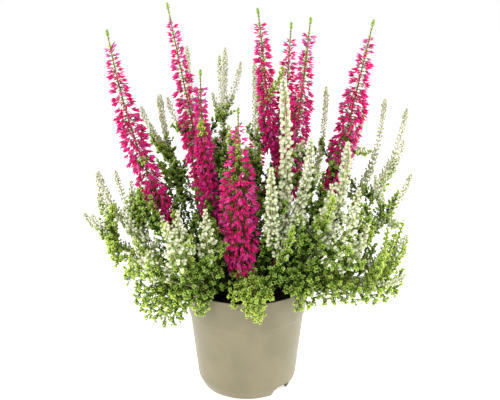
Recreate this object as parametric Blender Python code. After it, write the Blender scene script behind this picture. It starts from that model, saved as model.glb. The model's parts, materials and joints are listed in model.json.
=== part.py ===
"""A potted heather: plastic nursery pot, peat root ball, woody stems and the spikes they carry.

The origin is the middle of the pot's foot, on the surface that it stands on. +Z is up, and the
plant's front faces -Y. Lengths are in metres, and a shoot's own numbers are in millimetres.
"""

import math

import bmesh
import bpy
from mathutils import Matrix, Vector

MM = 0.001
GAP = 0.3 * MM
UP = Vector((0, 0, 1))

# Pot: a 12 cm nursery pot with a shallow band below its rim and a bevelled foot
POT_HEIGHT = 106 * MM
RIM_RADIUS = 60 * MM
WALL = 1.2 * MM
BAND_BOTTOM = 77 * MM
BAND_STEP = 1.2 * MM
TAPER = 0.1135
LIP = 0.4 * MM
FOOT_HEIGHT = 9.3 * MM
FOOT_RADIUS = 43 * MM
FOOT_INNER_RADIUS = 40.6 * MM
FOLD_BOTTOM = 1.4 * MM
FLOOR_RADIUS = 38.4 * MM
FLOOR_UNDERSIDE = 9.6 * MM
POT_SEGMENTS = 72

# Drainage notches in the foot, as angles in degrees from the front towards +X
NOTCH_ANGLES = (48, 228)
NOTCH_TOP_WIDTH = 20 * MM
NOTCH_BOTTOM_WIDTH = 24 * MM
NOTCH_HEIGHT = 9.4 * MM
NOTCH_FROM = 34 * MM
NOTCH_TO = 54 * MM
NOTCH_ROUND = 1.5 * MM

# Root ball
PEAT_TOP = 98 * MM
PEAT_EDGE = 95 * MM
PEAT_LEVEL_RADIUS = 34 * MM
PEAT_SEGMENTS = 48

# Stems and spikes
STEM_RADIUS = 1.9 * MM
STEM_TOP_RADIUS = 1.3 * MM
STALK_RADIUS = 1.0 * MM
STALK_SHARE = 0.18
STEM_SIDES = 6
SPIKE_SIDES = 8
STEM_RING_SPACING = 16 * MM
SPIKE_RING_SPACING = 24 * MM
FEWEST_RINGS = 6
HANDLE_SHARE = 0.38
FLATTEST_START = math.radians(68)

# How thick a spike is along its length: (share of its length, share of its girth)
SPIKE_FORMS = {
    "pink": ((0, 0.16), (0.1, 0.75), (0.28, 1.0), (0.5, 0.8), (0.75, 0.46), (1, 0.08)),
    "white": ((0, 0.24), (0.12, 0.8), (0.3, 1.0), (0.6, 0.78), (0.85, 0.5), (1, 0.16)),
    "green": ((0, 0.3), (0.15, 0.85), (0.45, 1.0), (0.8, 0.7), (1, 0.2)),
}

COLOURS = {
    "pot": (0.37, 0.33, 0.20),
    "peat": (0.012, 0.009, 0.006),
    "stem": (0.18, 0.07, 0.035),
    "pink": (0.66, 0.010, 0.19),
    "white": (0.55, 0.60, 0.36),
    "green": (0.10, 0.22, 0.02),
}
ROUGHNESS = {"pot": 0.45, "peat": 0.95, "stem": 0.8, "pink": 0.55, "white": 0.6, "green": 0.5}


class Shoot:
    """One spike: kind, tip and girth in millimetres, and how far it bows, in degrees.

    It leaves at its chord's lean plus the bow, though no flatter than clears the rim, and ends at
    the lean minus the bow. For a branch's leader, share is its bare stem's part of the length. For
    a side shoot it is how far up the leader it forks off.
    """

    def __init__(self, kind, tip, girth, bow, share):
        self.kind = kind
        self.tip = Vector(tip) * MM
        self.girth = girth * MM
        self.bow = math.radians(bow)
        self.share = share


def pink(tip, girth=8.5, bow=9, share=0.36):
    return Shoot("pink", tip, girth, bow, share)


def white(tip, girth=5.5, bow=16, share=0.34):
    return Shoot("white", tip, girth, bow, share)


def green(tip, girth=5.5, bow=16, share=0.34):
    return Shoot("green", tip, girth, bow, share)


# Each branch: where it stands in the peat, its leader, and the side shoots that fork off it
BRANCHES = {
    "left_pink": (
        (-22, -4),
        pink((-122, -15, 346), bow=17),
        [green((-98, -26, 202), bow=24, share=0.12)],
    ),
    "tall_pink": ((-16, 4), pink((-71, 10, 367), bow=1), [pink((-41, -14, 311), 6.5, share=0.24)]),
    "front_pink": ((-3, -18), pink((-7, -55, 285), 11, 14), [green((12, -80, 97), 6, -58, 0.12)]),
    "middle_pink": ((21, 10), pink((41, 28, 348), 7, 2), [pink((10, 15, 362), 6.5, 2, 0.22)]),
    "right_pink": ((24, -3), pink((57, 2, 355), 7.5, 2), []),
    "far_right_pink": ((31, 4), pink((114, 10, 352), bow=13), []),
    "back_pink": (
        (-2, 32),
        pink((-28, 96, 328), bow=14),
        [pink((18, 112, 304), 7, 14, 0.2), pink((60, 90, 320), 7, 14, 0.12)],
    ),
    "front_white": (
        (22, -24),
        white((31, -52, 310), 6.5, 8),
        [white((21, -74, 237), bow=10, share=0.2), white((56, -52, 258), bow=12, share=0.16)],
    ),
    "right_front_white": (
        (30, -15),
        white((88, -48, 254), bow=22),
        [white((73, -70, 222), bow=20, share=0.2), white((95, -80, 222), bow=30, share=0.12)],
    ),
    "low_right_white": (
        (29, -6),
        white((147, -36, 164), bow=32),
        [white((142, -58, 132), bow=30, share=0.25), white((106, -70, 186), bow=30, share=0.12)],
    ),
    "right_white": (
        (36, 9),
        white((151, 25, 269), bow=26),
        [white((153, -4, 213), bow=28, share=0.2), white((133, 45, 275), bow=24, share=0.14)],
    ),
    "right_back_white": (
        (22, 21),
        white((77, 55, 284), bow=20),
        [white((117, 76, 262), bow=26, share=0.2), white((98, 110, 222), bow=26, share=0.12)],
    ),
    "back_white": ((8, 18), white((8, 58, 309)), [white((54, 119, 244), bow=24, share=0.2)]),
    "left_back_white": (
        (-16, 15),
        white((-57, 50, 324), bow=12),
        [
            white((-21, 62, 321), bow=10, share=0.26),
            white((-84, 53, 277), bow=20, share=0.18),
            white((-64, 112, 252), bow=24, share=0.1),
        ],
    ),
    "left_white": (
        (-30, 6),
        white((-140, 6, 213), bow=30),
        [
            white((-128, 34, 206), bow=28, share=0.2),
            white((-151, -15, 178), bow=30, share=0.3),
            white((-112, -34, 190), bow=30, share=0.12),
        ],
    ),
    "front_left_white": (
        (-21, -16),
        white((-65, -119, 204), bow=34, share=0.36),
        [
            white((-58, -86, 204), bow=24, share=0.22),
            white((-96, -80, 168), bow=34, share=0.2),
            white((-35, -84, 204), bow=20, share=0.12),
        ],
    ),
}


def start_empty():
    for obj in list(bpy.data.objects):
        bpy.data.objects.remove(obj)


def material(kind):
    made = bpy.data.materials.get(kind) or bpy.data.materials.new(kind)
    made.use_nodes = True
    shader = made.node_tree.nodes["Principled BSDF"]
    shader.inputs["Base Color"].default_value = (*COLOURS[kind], 1)
    shader.inputs["Roughness"].default_value = ROUGHNESS[kind]
    shader.inputs["Metallic"].default_value = 0
    made.diffuse_color = (*COLOURS[kind], 1)
    return made


def finished(name, bm, kind, place=(0, 0, 0)):
    """An object made from a bmesh, with outward faces, smooth round its curves, at its place."""
    bmesh.ops.recalc_face_normals(bm, faces=bm.faces)
    mesh = bpy.data.meshes.new(name)
    bm.to_mesh(mesh)
    bm.free()
    mesh.shade_smooth()
    mesh.set_sharp_from_angle(angle=math.radians(35))
    mesh.materials.append(material(kind))
    obj = bpy.data.objects.new(name, mesh)
    obj.location = place
    bpy.context.scene.collection.objects.link(obj)
    return obj


def turned(name, outline, segments, kind):
    """A solid of revolution: the outline runs from the axis round to the axis, as (radius, height)."""
    bm = bmesh.new()
    corners = [bm.verts.new((radius, 0, height)) for radius, height in outline]
    edges = [bm.edges.new(pair) for pair in zip(corners, corners[1:])]
    bmesh.ops.spin(
        bm,
        geom=corners + edges,
        axis=UP,
        cent=(0, 0, 0),
        angle=math.tau,
        steps=segments,
        use_merge=True,
    )
    bmesh.ops.remove_doubles(bm, verts=bm.verts, dist=0.001 * MM)
    return finished(name, bm, kind)


def band_radius(height):
    """Outer radius of the rim band."""
    return RIM_RADIUS - TAPER * (POT_HEIGHT - height)


def wall_radius(height):
    """Outer radius of the wall below the band."""
    return band_radius(height) - BAND_STEP


def make_pot():
    band_foot = BAND_BOTTOM - BAND_STEP
    floor_top = FLOOR_UNDERSIDE + WALL
    outline = [
        (0, FLOOR_UNDERSIDE),
        (FLOOR_RADIUS, FLOOR_UNDERSIDE),
        (FOOT_INNER_RADIUS, 0),
        (FOOT_RADIUS, 0),
        (wall_radius(FOOT_HEIGHT), FOOT_HEIGHT),
        (wall_radius(band_foot), band_foot),
        (band_radius(BAND_BOTTOM), BAND_BOTTOM),
        (RIM_RADIUS, POT_HEIGHT - LIP),
        (RIM_RADIUS - LIP, POT_HEIGHT),
        (RIM_RADIUS - WALL + LIP, POT_HEIGHT),
        (RIM_RADIUS - WALL, POT_HEIGHT - LIP),
        (band_radius(BAND_BOTTOM) - WALL, BAND_BOTTOM),
        (wall_radius(band_foot) - WALL, band_foot),
        (wall_radius(floor_top) - WALL, floor_top),
        (FOOT_RADIUS - WALL, FOLD_BOTTOM),
        (FOOT_INNER_RADIUS + LIP, FOLD_BOTTOM),
        (FLOOR_RADIUS + WALL, floor_top),
        (0, floor_top),
    ]
    pot = turned("pot", outline, POT_SEGMENTS, "pot")
    for number, angle in enumerate(NOTCH_ANGLES, 1):
        cutter = notch_cutter(f"notch_cutter_{number}", math.radians(angle))
        cut = pot.modifiers.new(f"drainage_notch_{number}", "BOOLEAN")
        cut.operation = "DIFFERENCE"
        cut.solver = "EXACT"
        cut.object = cutter
    return pot


def notch_cutter(name, angle):
    """An arch, wider at the floor, that reaches through the foot's fold at this angle."""
    bm = bmesh.new()
    half_top = NOTCH_TOP_WIDTH / 2
    half_bottom = NOTCH_BOTTOM_WIDTH / 2
    below = -2 * MM
    corners = [
        (-half_bottom, below),
        (half_bottom, below),
        (half_top, NOTCH_HEIGHT),
        (-half_top, NOTCH_HEIGHT),
    ]
    arch = bm.faces.new([bm.verts.new((x, -NOTCH_FROM, z)) for x, z in corners])
    pulled = bmesh.ops.extrude_face_region(bm, geom=[arch])["geom"]
    moved = [item for item in pulled if isinstance(item, bmesh.types.BMVert)]
    bmesh.ops.translate(bm, verts=moved, vec=(0, NOTCH_FROM - NOTCH_TO, 0))
    top_edges = [
        edge
        for edge in bm.edges
        if all(vert.co.z > 0 for vert in edge.verts)
        and edge.verts[0].co.x == edge.verts[1].co.x
    ]
    bmesh.ops.bevel(bm, geom=top_edges, offset=NOTCH_ROUND, segments=2, affect="EDGES")
    bmesh.ops.rotate(bm, verts=bm.verts, cent=(0, 0, 0), matrix=Matrix.Rotation(angle, 3, "Z"))
    cutter = finished(name, bm, "pot")
    cutter.hide_render = True
    cutter.display_type = "WIRE"
    return cutter


def make_peat():
    """The root ball fills the pot down to its floor and stops short of the rim."""
    bottom = FLOOR_UNDERSIDE + WALL + GAP
    band_foot = BAND_BOTTOM - BAND_STEP
    inset = WALL + GAP
    outline = [
        (0, bottom),
        (wall_radius(bottom) - inset, bottom),
        (wall_radius(band_foot) - inset, band_foot),
        (band_radius(BAND_BOTTOM) - inset, BAND_BOTTOM + GAP),
        (band_radius(PEAT_EDGE) - inset, PEAT_EDGE),
        (PEAT_LEVEL_RADIUS, PEAT_TOP),
        (0, PEAT_TOP),
    ]
    return turned("peat_root_ball", outline, PEAT_SEGMENTS, "peat")


class Course:
    """The curved line that a shoot grows along, from its start to its tip."""

    def __init__(self, start, tip, bow):
        chord = tip - start
        lean = chord.angle(UP)
        turn = math.atan2(chord.y, chord.x)
        handle = HANDLE_SHARE * chord.length
        self.points = (
            start,
            start + aim(min(lean + bow, FLATTEST_START), turn) * handle,
            tip - aim(lean - bow, turn) * handle,
            tip,
        )

    def at(self, t):
        a, b, c, d = self.points
        s = 1 - t
        return a * s ** 3 + b * 3 * s * s * t + c * 3 * s * t * t + d * t ** 3

    def heading(self, t):
        a, b, c, d = self.points
        s = 1 - t
        return (b - a) * 3 * s * s + (c - b) * 6 * s * t + (d - c) * 3 * t * t


def aim(lean, turn):
    """Unit vector that leans this far from vertical, towards this compass turn."""
    return Vector((math.sin(lean) * math.cos(turn), math.sin(lean) * math.sin(turn), math.cos(lean)))


def along(form, share):
    """The value of a stepwise straight form at this share of its length."""
    for (x0, y0), (x1, y1) in zip(form, form[1:]):
        if share <= x1:
            return y0 + (y1 - y0) * (share - x0) / (x1 - x0)
    return form[-1][1]


def ring_shares(course, start, end, spacing):
    """Evenly spaced places along a stretch of the course."""
    length = (course.at(end) - course.at(start)).length
    count = max(FEWEST_RINGS, round(length / spacing))
    return [start + (end - start) * i / count for i in range(count + 1)]


def swept(name, course, places, radii, sides, kind, level_foot=False):
    """A closed tube along the course, with a ring of this radius at each place."""
    start = course.at(places[0])
    bm = bmesh.new()
    across = course.heading(places[0]).orthogonal().normalized()
    rings = []
    for place, radius in zip(places, radii):
        forward = course.heading(place).normalized()
        across = (across - forward * across.dot(forward)).normalized()
        beside = forward.cross(across)
        centre = course.at(place) - start
        ring = []
        for i in range(sides):
            turn = math.tau * i / sides
            ring.append(bm.verts.new(centre + (across * math.cos(turn) + beside * math.sin(turn)) * radius))
        rings.append(ring)
    if level_foot:
        for vert in rings[0]:
            vert.co.z = 0
    for low, high in zip(rings, rings[1:]):
        for i in range(sides):
            j = (i + 1) % sides
            bm.faces.new((low[i], low[j], high[j], high[i]))
    bm.faces.new(rings[0])
    bm.faces.new(rings[-1])
    return finished(name, bm, kind, start)


def make_stem(name, course, end):
    places = ring_shares(course, 0, end, STEM_RING_SPACING)
    radii = [STEM_RADIUS + (STEM_TOP_RADIUS - STEM_RADIUS) * place / end for place in places]
    return swept(name, course, places, radii, STEM_SIDES, "stem", level_foot=True)


def make_spike(name, course, start, shoot):
    """The flowers or leaves that sit round the upper part of a shoot."""
    first = start + GAP / course.heading(start).length
    places = ring_shares(course, first, 1, SPIKE_RING_SPACING)
    form = SPIKE_FORMS[shoot.kind]
    radii = [shoot.girth * along(form, (place - first) / (1 - first)) for place in places]
    return swept(name, course, places, radii, SPIKE_SIDES, shoot.kind)


def make_side_shoot(name, leader, shoot):
    """A shoot that forks off its leader's bare stem, on a thin stalk of its own."""
    fork = leader.at(shoot.share)
    forward = leader.heading(shoot.share).normalized()
    away = shoot.tip - fork
    away = (away - forward * away.dot(forward)).normalized()
    start = fork + away * (STEM_RADIUS + GAP + STALK_RADIUS)
    course = Course(start, shoot.tip, shoot.bow)
    places = ring_shares(course, 0, 1, SPIKE_RING_SPACING)
    radii = []
    for place in places:
        if place < STALK_SHARE:
            radii.append(STALK_RADIUS)
        else:
            share = (place - STALK_SHARE) / (1 - STALK_SHARE)
            radii.append(max(STALK_RADIUS, shoot.girth * along(SPIKE_FORMS[shoot.kind], share)))
    radii[-1] = STALK_RADIUS * 0.8
    return swept(name, course, places, radii, SPIKE_SIDES, shoot.kind)


def make_branch(name, root, leader, side_shoots):
    foot = Vector((root[0] * MM, root[1] * MM, PEAT_TOP + GAP))
    course = Course(foot, leader.tip, leader.bow)
    make_stem(f"{name}_stem", course, leader.share)
    make_spike(f"{name}_spike", course, leader.share, leader)
    for number, shoot in enumerate(side_shoots, 1):
        make_side_shoot(f"{name}_side_{number}", course, shoot)


def main():
    start_empty()
    make_pot()
    make_peat()
    for name, (root, leader, side_shoots) in BRANCHES.items():
        make_branch(name, root, leader, side_shoots)


main()
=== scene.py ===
"""Potted heather: a plastic nursery pot, its peat, woody stems, pink spikes, bud spikes and leafy shoots.

Every shoot grows along a course. The shoots of the frame give theirs through the middles of their
rings, and the thinner sprigs between them fork off the nearest of those.
"""

import json
import math
import zlib
from dataclasses import dataclass, replace

import bmesh
import bpy
import numpy as np
from bpy.props import FloatProperty, FloatVectorProperty, IntProperty, PointerProperty
from bpy.types import Operator, Panel, PropertyGroup
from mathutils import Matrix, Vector

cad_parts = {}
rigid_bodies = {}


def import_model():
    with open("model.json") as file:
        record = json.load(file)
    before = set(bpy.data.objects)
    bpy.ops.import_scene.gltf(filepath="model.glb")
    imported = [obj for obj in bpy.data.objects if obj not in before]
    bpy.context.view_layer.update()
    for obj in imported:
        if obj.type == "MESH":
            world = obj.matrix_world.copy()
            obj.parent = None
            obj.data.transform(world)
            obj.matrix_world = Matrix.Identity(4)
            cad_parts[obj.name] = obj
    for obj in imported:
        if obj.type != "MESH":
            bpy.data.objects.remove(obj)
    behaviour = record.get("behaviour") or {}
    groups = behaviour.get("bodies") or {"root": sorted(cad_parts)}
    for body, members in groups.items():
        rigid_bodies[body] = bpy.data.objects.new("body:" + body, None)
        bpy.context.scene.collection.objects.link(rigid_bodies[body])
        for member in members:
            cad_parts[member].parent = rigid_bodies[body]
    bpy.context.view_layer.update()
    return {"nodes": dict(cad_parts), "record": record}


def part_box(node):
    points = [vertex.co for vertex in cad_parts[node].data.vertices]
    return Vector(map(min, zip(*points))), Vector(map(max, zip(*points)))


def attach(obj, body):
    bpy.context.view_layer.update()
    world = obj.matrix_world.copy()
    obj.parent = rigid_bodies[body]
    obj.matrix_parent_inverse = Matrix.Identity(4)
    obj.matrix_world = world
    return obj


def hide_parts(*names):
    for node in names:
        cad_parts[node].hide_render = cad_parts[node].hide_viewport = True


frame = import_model()

bl_info = {
    "name": "Potted heather",
    "version": (1, 0, 0),
    "blender": (4, 5, 0),
    "location": "3D View > Sidebar > Heather",
    "description": "Builds a potted heather with pink spikes, cream bud spikes and green shoots",
    "category": "Add Mesh",
}

MM = 0.001
UP = np.array([0.0, 0.0, 1.0])
BODY = "root"
COLOUR_MAP = "OFBake"

# How the shoots of the frame are meshed
STEM_SIDES = 6
SPIKE_SIDES = 8

# How a course is drawn: points of a whole one and of a part, the power fitted to it, and its handles
COURSE_POINTS = 41
COURSE_POWER = 3
PART_POINTS = 16
HANDLE_SHARE = 0.38
NO_LENGTH = 1e-12

# Each kind of small body takes its colour from its own column of the colour map
SLOTS = ("petal", "bud", "leaf", "bark", "crumb")

# Half the width of the leafy bush at each height, in millimetres, and its depth as a share of its width
BUSH = ((100, 70), (120, 105), (145, 128), (175, 136), (205, 128), (230, 108), (250, 84), (275, 52))
BUSH_DEPTH = 0.78

# Painted daylight on leaves and buds: the share of the bush's reach that lies in painted shade, and the
# height where painted light comes in from above, which grows to full over the next stretch
SHADED_SHARE = 0.48
OPEN_HEIGHT = 225 * MM
OPENING_STRETCH = 60 * MM

# Painted shade in the recess in front of the spikes: its middle and its spread, across and up, and how
# strong the painted shade is there
RECESS_MIDDLE = (-2 * MM, 134 * MM)
RECESS_SPREAD = (75 * MM, 32 * MM)
RECESS_SHADE = 0.85

# Leaves and twigs keep this far from the pot's inside, from the peat, and from its rim and outside
INSIDE_GAP = 1.5 * MM
PEAT_GAP = 1 * MM
RIM_GAP = 1.2 * MM

# Tips of the sprigs that the front view shows, as (x, y, z) in millimetres
BUD_SPRIGS = [
    (65, -38, 231), (137, 10, 225), (118, -15, 215), (130, 0, 216), (141, -25, 173), (136, -10, 175),
    (-127, -25, 206), (-111, 20, 200), (-6, 65, 307), (-33, 50, 280), (-77, 50, 275), (-102, 45, 267),
    (-85, 45, 279), (-84, -95, 172), (-104, -60, 150), (44, -66, 196), (120, -45, 150),
    (-48, -100, 182), (-75, -60, 190), (94, -20, 231), (116, 0, 235), (-138, -10, 216), (12, 40, 303),
    (147, 10, 242), (51, -20, 249), (-94, 40, 252), (101, -60, 191), (-141, -30, 182), (-60, 45, 262),
    (-20, 60, 262), (96, 10, 261),
]
CLUMP_SPRIGS = [
    (-6, -64, 112), (0, -68, 97), (7, -70, 94), (14, -68, 99), (21, -66, 113), (3, -58, 120),
    (14, -56, 123), (-12, -62, 104),
]
BRIGHT_SPRIGS = [
    (143, -30, 175), (147, -35, 161), (134, -45, 170), (123, -60, 159), (139, -40, 140), (-98, -60, 169),
    (-70, -85, 191), (-41, -25, 268), (33, 0, 312), (138, -35, 152), (130, -35, 158), (147, -30, 150),
    (112, -50, 172), (-104, -62, 152), (79, 20, 240), (126, -52, 176), (-108, -58, 140), (74, -76, 214),
]
SKIRT_SPRIGS = [
    (-103, -45, 102), (-99, -45, 93), (-92, -50, 87), (-84, -50, 85), (-77, -50, 81), (-69, -52, 82),
    (-61, -55, 88), (-89, -50, 98), (-79, -52, 96), (-70, -55, 96), (-56, -60, 99), (-47, -60, 101),
    (-42, -60, 95), (-101, -45, 117), (-53, -62, 115), (-93, -50, 105), (-38, -58, 102), (-112, -40, 124),
    (49, -55, 97), (56, -55, 100), (63, -50, 102), (73, -50, 102), (82, -45, 101), (91, -45, 100),
    (101, -42, 98), (111, -40, 99), (120, -40, 99), (130, -35, 99), (138, -35, 104), (145, -30, 116),
    (146, -30, 128), (132, -40, 122), (-110, -45, 133), (-119, -35, 139), (-121, -35, 154),
    (79, -60, 123), (93, -58, 121), (110, -55, 118), (125, -50, 121), (53, -58, 113), (46, -60, 118),
    (57, -62, 127), (-67, -60, 113), (-55, -62, 121), (-42, -62, 121),
]
LEAFY_SPRIGS = [
    (-83, -85, 157), (-65, -95, 167), (-48, -95, 161), (-31, -90, 165), (-22, -75, 141), (-21, -80, 166),
    (40, -60, 140), (56, -66, 150), (76, -75, 150), (89, -85, 168), (103, -75, 153),
    (119, -60, 151), (14, 20, 249), (3, 30, 228), (-9, 30, 213), (-31, 45, 234), (-46, 40, 225),
    (-60, 40, 215), (-74, 30, 208), (-88, 20, 200), (-91, 0, 187), (-102, 10, 188), (27, 30, 228),
    (48, -20, 221), (72, -20, 202), (88, 0, 187), (102, 0, 191), (95, 30, 206), (112, 10, 198),
    (125, 0, 187), (-21, 45, 244), (-11, 0, 201), (8, -20, 193), (22, 0, 196), (14, -45, 163),
    (25, -55, 171), (-125, -35, 149), (-91, 30, 242), (-83, 30, 232), (-77, 40, 225), (-69, 30, 218),
    (-85, 20, 220), (-78, 20, 205), (-66, 20, 195), (-92, 10, 203), (-97, 0, 196), (-105, 0, 187),
    (-100, -10, 175), (-60, 30, 208), (-55, 40, 225), (-127, -30, 162), (-114, -40, 146), (110, -10, 185),
    (116, -20, 168), (126, 0, 172), (137, 0, 187), (142, 0, 196), (117, -35, 154), (92, 20, 249),
    (84, 10, 233), (-40, 20, 240), (-25, 25, 226), (15, 30, 262), (40, 20, 236), (-48, 0, 200),
    (-36, -10, 190), (58, -30, 196), (30, -20, 180), (-20, 10, 238), (0, 25, 252),
]
BACK_SKIRT_SPRIGS = [
    (-88, 22, 96), (-74, 52, 88), (-50, 70, 92), (-22, 84, 86), (6, 86, 92), (34, 80, 86), (58, 66, 92),
    (80, 44, 88), (92, 16, 96), (-96, 4, 104), (-62, 62, 104), (-36, 78, 102), (20, 86, 104), (46, 74, 104),
    (70, 58, 102), (96, -6, 106), (-82, 40, 108), (88, 32, 108), (-8, 88, 106),
]

# A sprig whose tip is lower than this leans out over the rim and hangs
HANG_BELOW = 114 * MM

# Kinds of leafy sprig: tips, tone, reach and pitch of the twigs in millimetres, bluntness, leaf size
LEAFY_KINDS = (
    (CLUMP_SPRIGS, 0.78, 8.5, 2.2, 0.4, 1.1),
    (BRIGHT_SPRIGS, 0.7, 5.0, 1.9, 0.4, 0.9),
    (SKIRT_SPRIGS, 0.15, 8.5, 2.3, 0.65, 1.15),
    (BACK_SKIRT_SPRIGS, 0.2, 9.0, 2.8, 0.55, 1.1),
    (LEAFY_SPRIGS, 0.08, 6.5, 1.9, 0.45, 1.0),
)

# Sprigs that fill the bush between those: the same values, the box that holds their tips, their number
FILLING_KIND = (0.02, 7.0, 2.4, 0.4, 1.1)
FILLING_LOWEST = (-150 * MM, -118 * MM, 118 * MM)
FILLING_HIGHEST = (150 * MM, 118 * MM, 272 * MM)
FILLING_COUNT = 100
FILLING_SEED = 5

# Upright shoots in the heart of the bush, and the part of the peat that they stand on, in millimetres
CORE_COUNT = 56
CORE_SEED = 11
CORE_X = (-52, 52)
CORE_Y = (-30, 50)
CORE_RADIUS = 50
CORE_SPACING = 9
CORE_TRIES = 4000


# Settings


def colour_of(name, description, default):
    return FloatVectorProperty(
        name=name, description=description, default=default, size=3, min=0.0, max=1.0, subtype="COLOR"
    )


def length_of(name, description, default):
    return FloatProperty(name=name, description=description, default=default, min=0.0, subtype="DISTANCE")


def amount_of(name, description, default):
    return FloatProperty(name=name, description=description, default=default, min=0.0)


class HeatherPot(PropertyGroup):
    """Looks of the pot and the peat."""

    plastic_dark: colour_of("Plastic, darker", "Darker blotches of the pot", (0.186, 0.160, 0.088))
    plastic_pale: colour_of("Plastic, paler", "Paler blotches of the pot", (0.222, 0.192, 0.114))
    peat_dark: colour_of("Peat, darker", "Hollows of the peat", (0.006, 0.004, 0.003))
    peat_pale: colour_of("Peat, paler", "Dry crumbs of the peat", (0.035, 0.022, 0.014))
    segments: IntProperty(name="Segments", description="Faces round the pot", default=128, min=24, max=256)


class HeatherGrowth(PropertyGroup):
    """Sizes and colours of petals, buds, leaves and bark."""

    petal_length: length_of("Petal length", "Length of one petal", 6.7 * MM)
    bud_length: length_of("Bud length", "Length of a full bud", 4.0 * MM)
    leaf_length: length_of("Leaf length", "Length of one scale leaf", 3.5 * MM)
    filling_spacing: length_of("Sprig spacing", "Least distance between filling sprigs' tips", 18 * MM)
    petal_deep: colour_of("Petal, deep", "Darkest petals", (0.50, 0.004, 0.07))
    petal_middle: colour_of("Petal", "Most petals", (0.80, 0.012, 0.20))
    petal_light: colour_of("Petal, light", "Palest petals", (0.72, 0.07, 0.40))
    petal_foot: colour_of("Petal foot", "Foot of a petal", (0.62, 0.008, 0.06))
    bud_deep: colour_of("Bud, deep", "Greenest buds", (0.42, 0.52, 0.20))
    bud_middle: colour_of("Bud", "Most buds", (0.62, 0.65, 0.43))
    bud_light: colour_of("Bud, light", "Palest buds", (0.80, 0.80, 0.68))
    bud_foot: colour_of("Bud foot", "Cup of a bud", (0.22, 0.34, 0.06))
    # Deep leaves are the oldest and also painted shade inside the bush; light leaves are the youngest and
    # also painted light at its outside
    leaf_deep: colour_of("Leaf, deep", "Oldest leaves, and leaves in painted shade", (0.014, 0.038, 0.004))
    leaf_middle: colour_of("Leaf", "Most leaves", (0.30, 0.52, 0.055))
    leaf_light: colour_of("Leaf, light", "Youngest leaves, and leaves in painted light", (0.64, 0.88, 0.11))
    leaf_foot: colour_of("Leaf foot", "Foot of a leaf", (0.07, 0.14, 0.010))
    bark_deep: colour_of("Bark, deep", "Bark of the woody stems", (0.055, 0.034, 0.020))
    bark_middle: colour_of("Bark", "Bark inside the pink spikes", (0.34, 0.12, 0.06))
    bark_light: colour_of("Bark, light", "Bark inside the bud spikes", (0.66, 0.62, 0.36))
    bark_foot: colour_of("Bark foot", "Foot of a twig", (0.07, 0.04, 0.02))


class HeatherStage(PropertyGroup):
    """Light and floor of the studio."""

    sky_strength: amount_of("Sky", "Strength of the white surroundings", 1.0)
    sky_light: amount_of("Sky light", "Share of the surroundings' light that falls on the plant", 0.4)
    key_power: amount_of("Key light", "Power of the main lamp", 22.0)
    fill_power: amount_of("Fill light", "Power of the front lamp", 4.0)
    left_edge_power: amount_of("Left light", "Power of the left lamp", 12.0)
    right_edge_power: amount_of("Right light", "Power of the right lamp", 18.0)
    floor_colour: colour_of("Floor", "Colour of the floor", (0.93, 0.93, 0.93))
    floor_glow: amount_of("Floor glow", "Own light of the floor", 0.62)


def growth():
    return bpy.context.scene.heather_growth


# Directions and courses


def unit(rows):
    return rows / np.maximum(np.linalg.norm(rows, axis=-1, keepdims=True), NO_LENGTH)


def square_to(forward, hint):
    """Unit vectors at right angles to forward, as near to the hint as they can be."""
    return unit(hint - forward * np.sum(hint * forward, axis=-1, keepdims=True))


def blend(low, high, share):
    return low + (high - low) * share


def mixed(low, high, share):
    return unit(low * (1 - share) + high * share)


class Course:
    """The line that a shoot grows along, and the way it heads at any distance along it."""

    def __init__(self, points):
        self.points = points
        steps = np.linalg.norm(np.diff(points, axis=0), axis=1)
        self.reach = np.concatenate([[0.0], np.cumsum(steps)])
        self.length = self.reach[-1]
        self.headings = unit(np.gradient(points, self.reach, axis=0))
        across = square_to(self.headings[0], np.array([1.0, 0.05, 0.1]))
        rows = []
        for heading in self.headings:
            across = square_to(heading, across)
            rows.append(across)
        self.acrosses = np.array(rows)

    def at(self, distance):
        """(places, headings, directions across) at these distances."""
        found = []
        for rows in (self.points, self.headings, self.acrosses):
            found.append(np.stack([np.interp(distance, self.reach, rows[:, k]) for k in range(3)], -1))
        return found[0], unit(found[1]), square_to(unit(found[1]), found[2])

    def part(self, start, end, points):
        """The course of the stretch between two distances, drawn with this many points."""
        return Course(self.at(np.linspace(start, end, points))[0])


def bezier(start, start_heading, tip, tip_heading):
    """Points of a smooth curve that leaves start and reaches tip along these headings."""
    handle = HANDLE_SHARE * np.linalg.norm(tip - start)
    t = np.linspace(0, 1, COURSE_POINTS)[:, None]
    s = 1 - t
    leaving = start + start_heading * handle
    arriving = tip - tip_heading * handle
    return start * s ** 3 + leaving * 3 * s * s * t + arriving * 3 * s * t * t + tip * t ** 3


# Sizes of the pot and the peat, the main ones read from the frame
RIM_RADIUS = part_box("pot")[1].x
POT_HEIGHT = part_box("pot")[1].z
PEAT_BOTTOM, PEAT_TOP = (corner.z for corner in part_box("peat_root_ball"))
WALL = 1.2 * MM
INNER_RADIUS = RIM_RADIUS - WALL
TAPER = 0.1135
LIP = 0.4 * MM
BAND_BOTTOM = 77 * MM
BAND_STEP = 1.2 * MM
BAND_FOOT = BAND_BOTTOM - BAND_STEP
FOOT_HEIGHT = 9.3 * MM
FOOT_RADIUS = 43 * MM
FOOT_INNER_RADIUS = 40.6 * MM
FOLD_BOTTOM = 1.4 * MM
FLOOR_UNDERSIDE = 9.6 * MM
FLOOR_TOP = FLOOR_UNDERSIDE + WALL
FLOOR_RADIUS = 38.4 * MM
PEAT_CLEARANCE = 0.3 * MM
PEAT_DROP = 3 * MM
PEAT_RINGS = 36

# Drainage notches, turned from the front towards +X by these degrees
NOTCH_TURNS = (48, 228)
NOTCH_TOP_WIDTH = 20 * MM
NOTCH_BOTTOM_WIDTH = 24 * MM
NOTCH_HEIGHT = 9.4 * MM
NOTCH_FROM = 34 * MM
NOTCH_TO = 54 * MM
NOTCH_ROUNDING = 1.8 * MM


def band_radius(height):
    return RIM_RADIUS - TAPER * (POT_HEIGHT - height)


def wall_radius(height):
    return band_radius(height) - BAND_STEP


# Shoots of the frame


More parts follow.
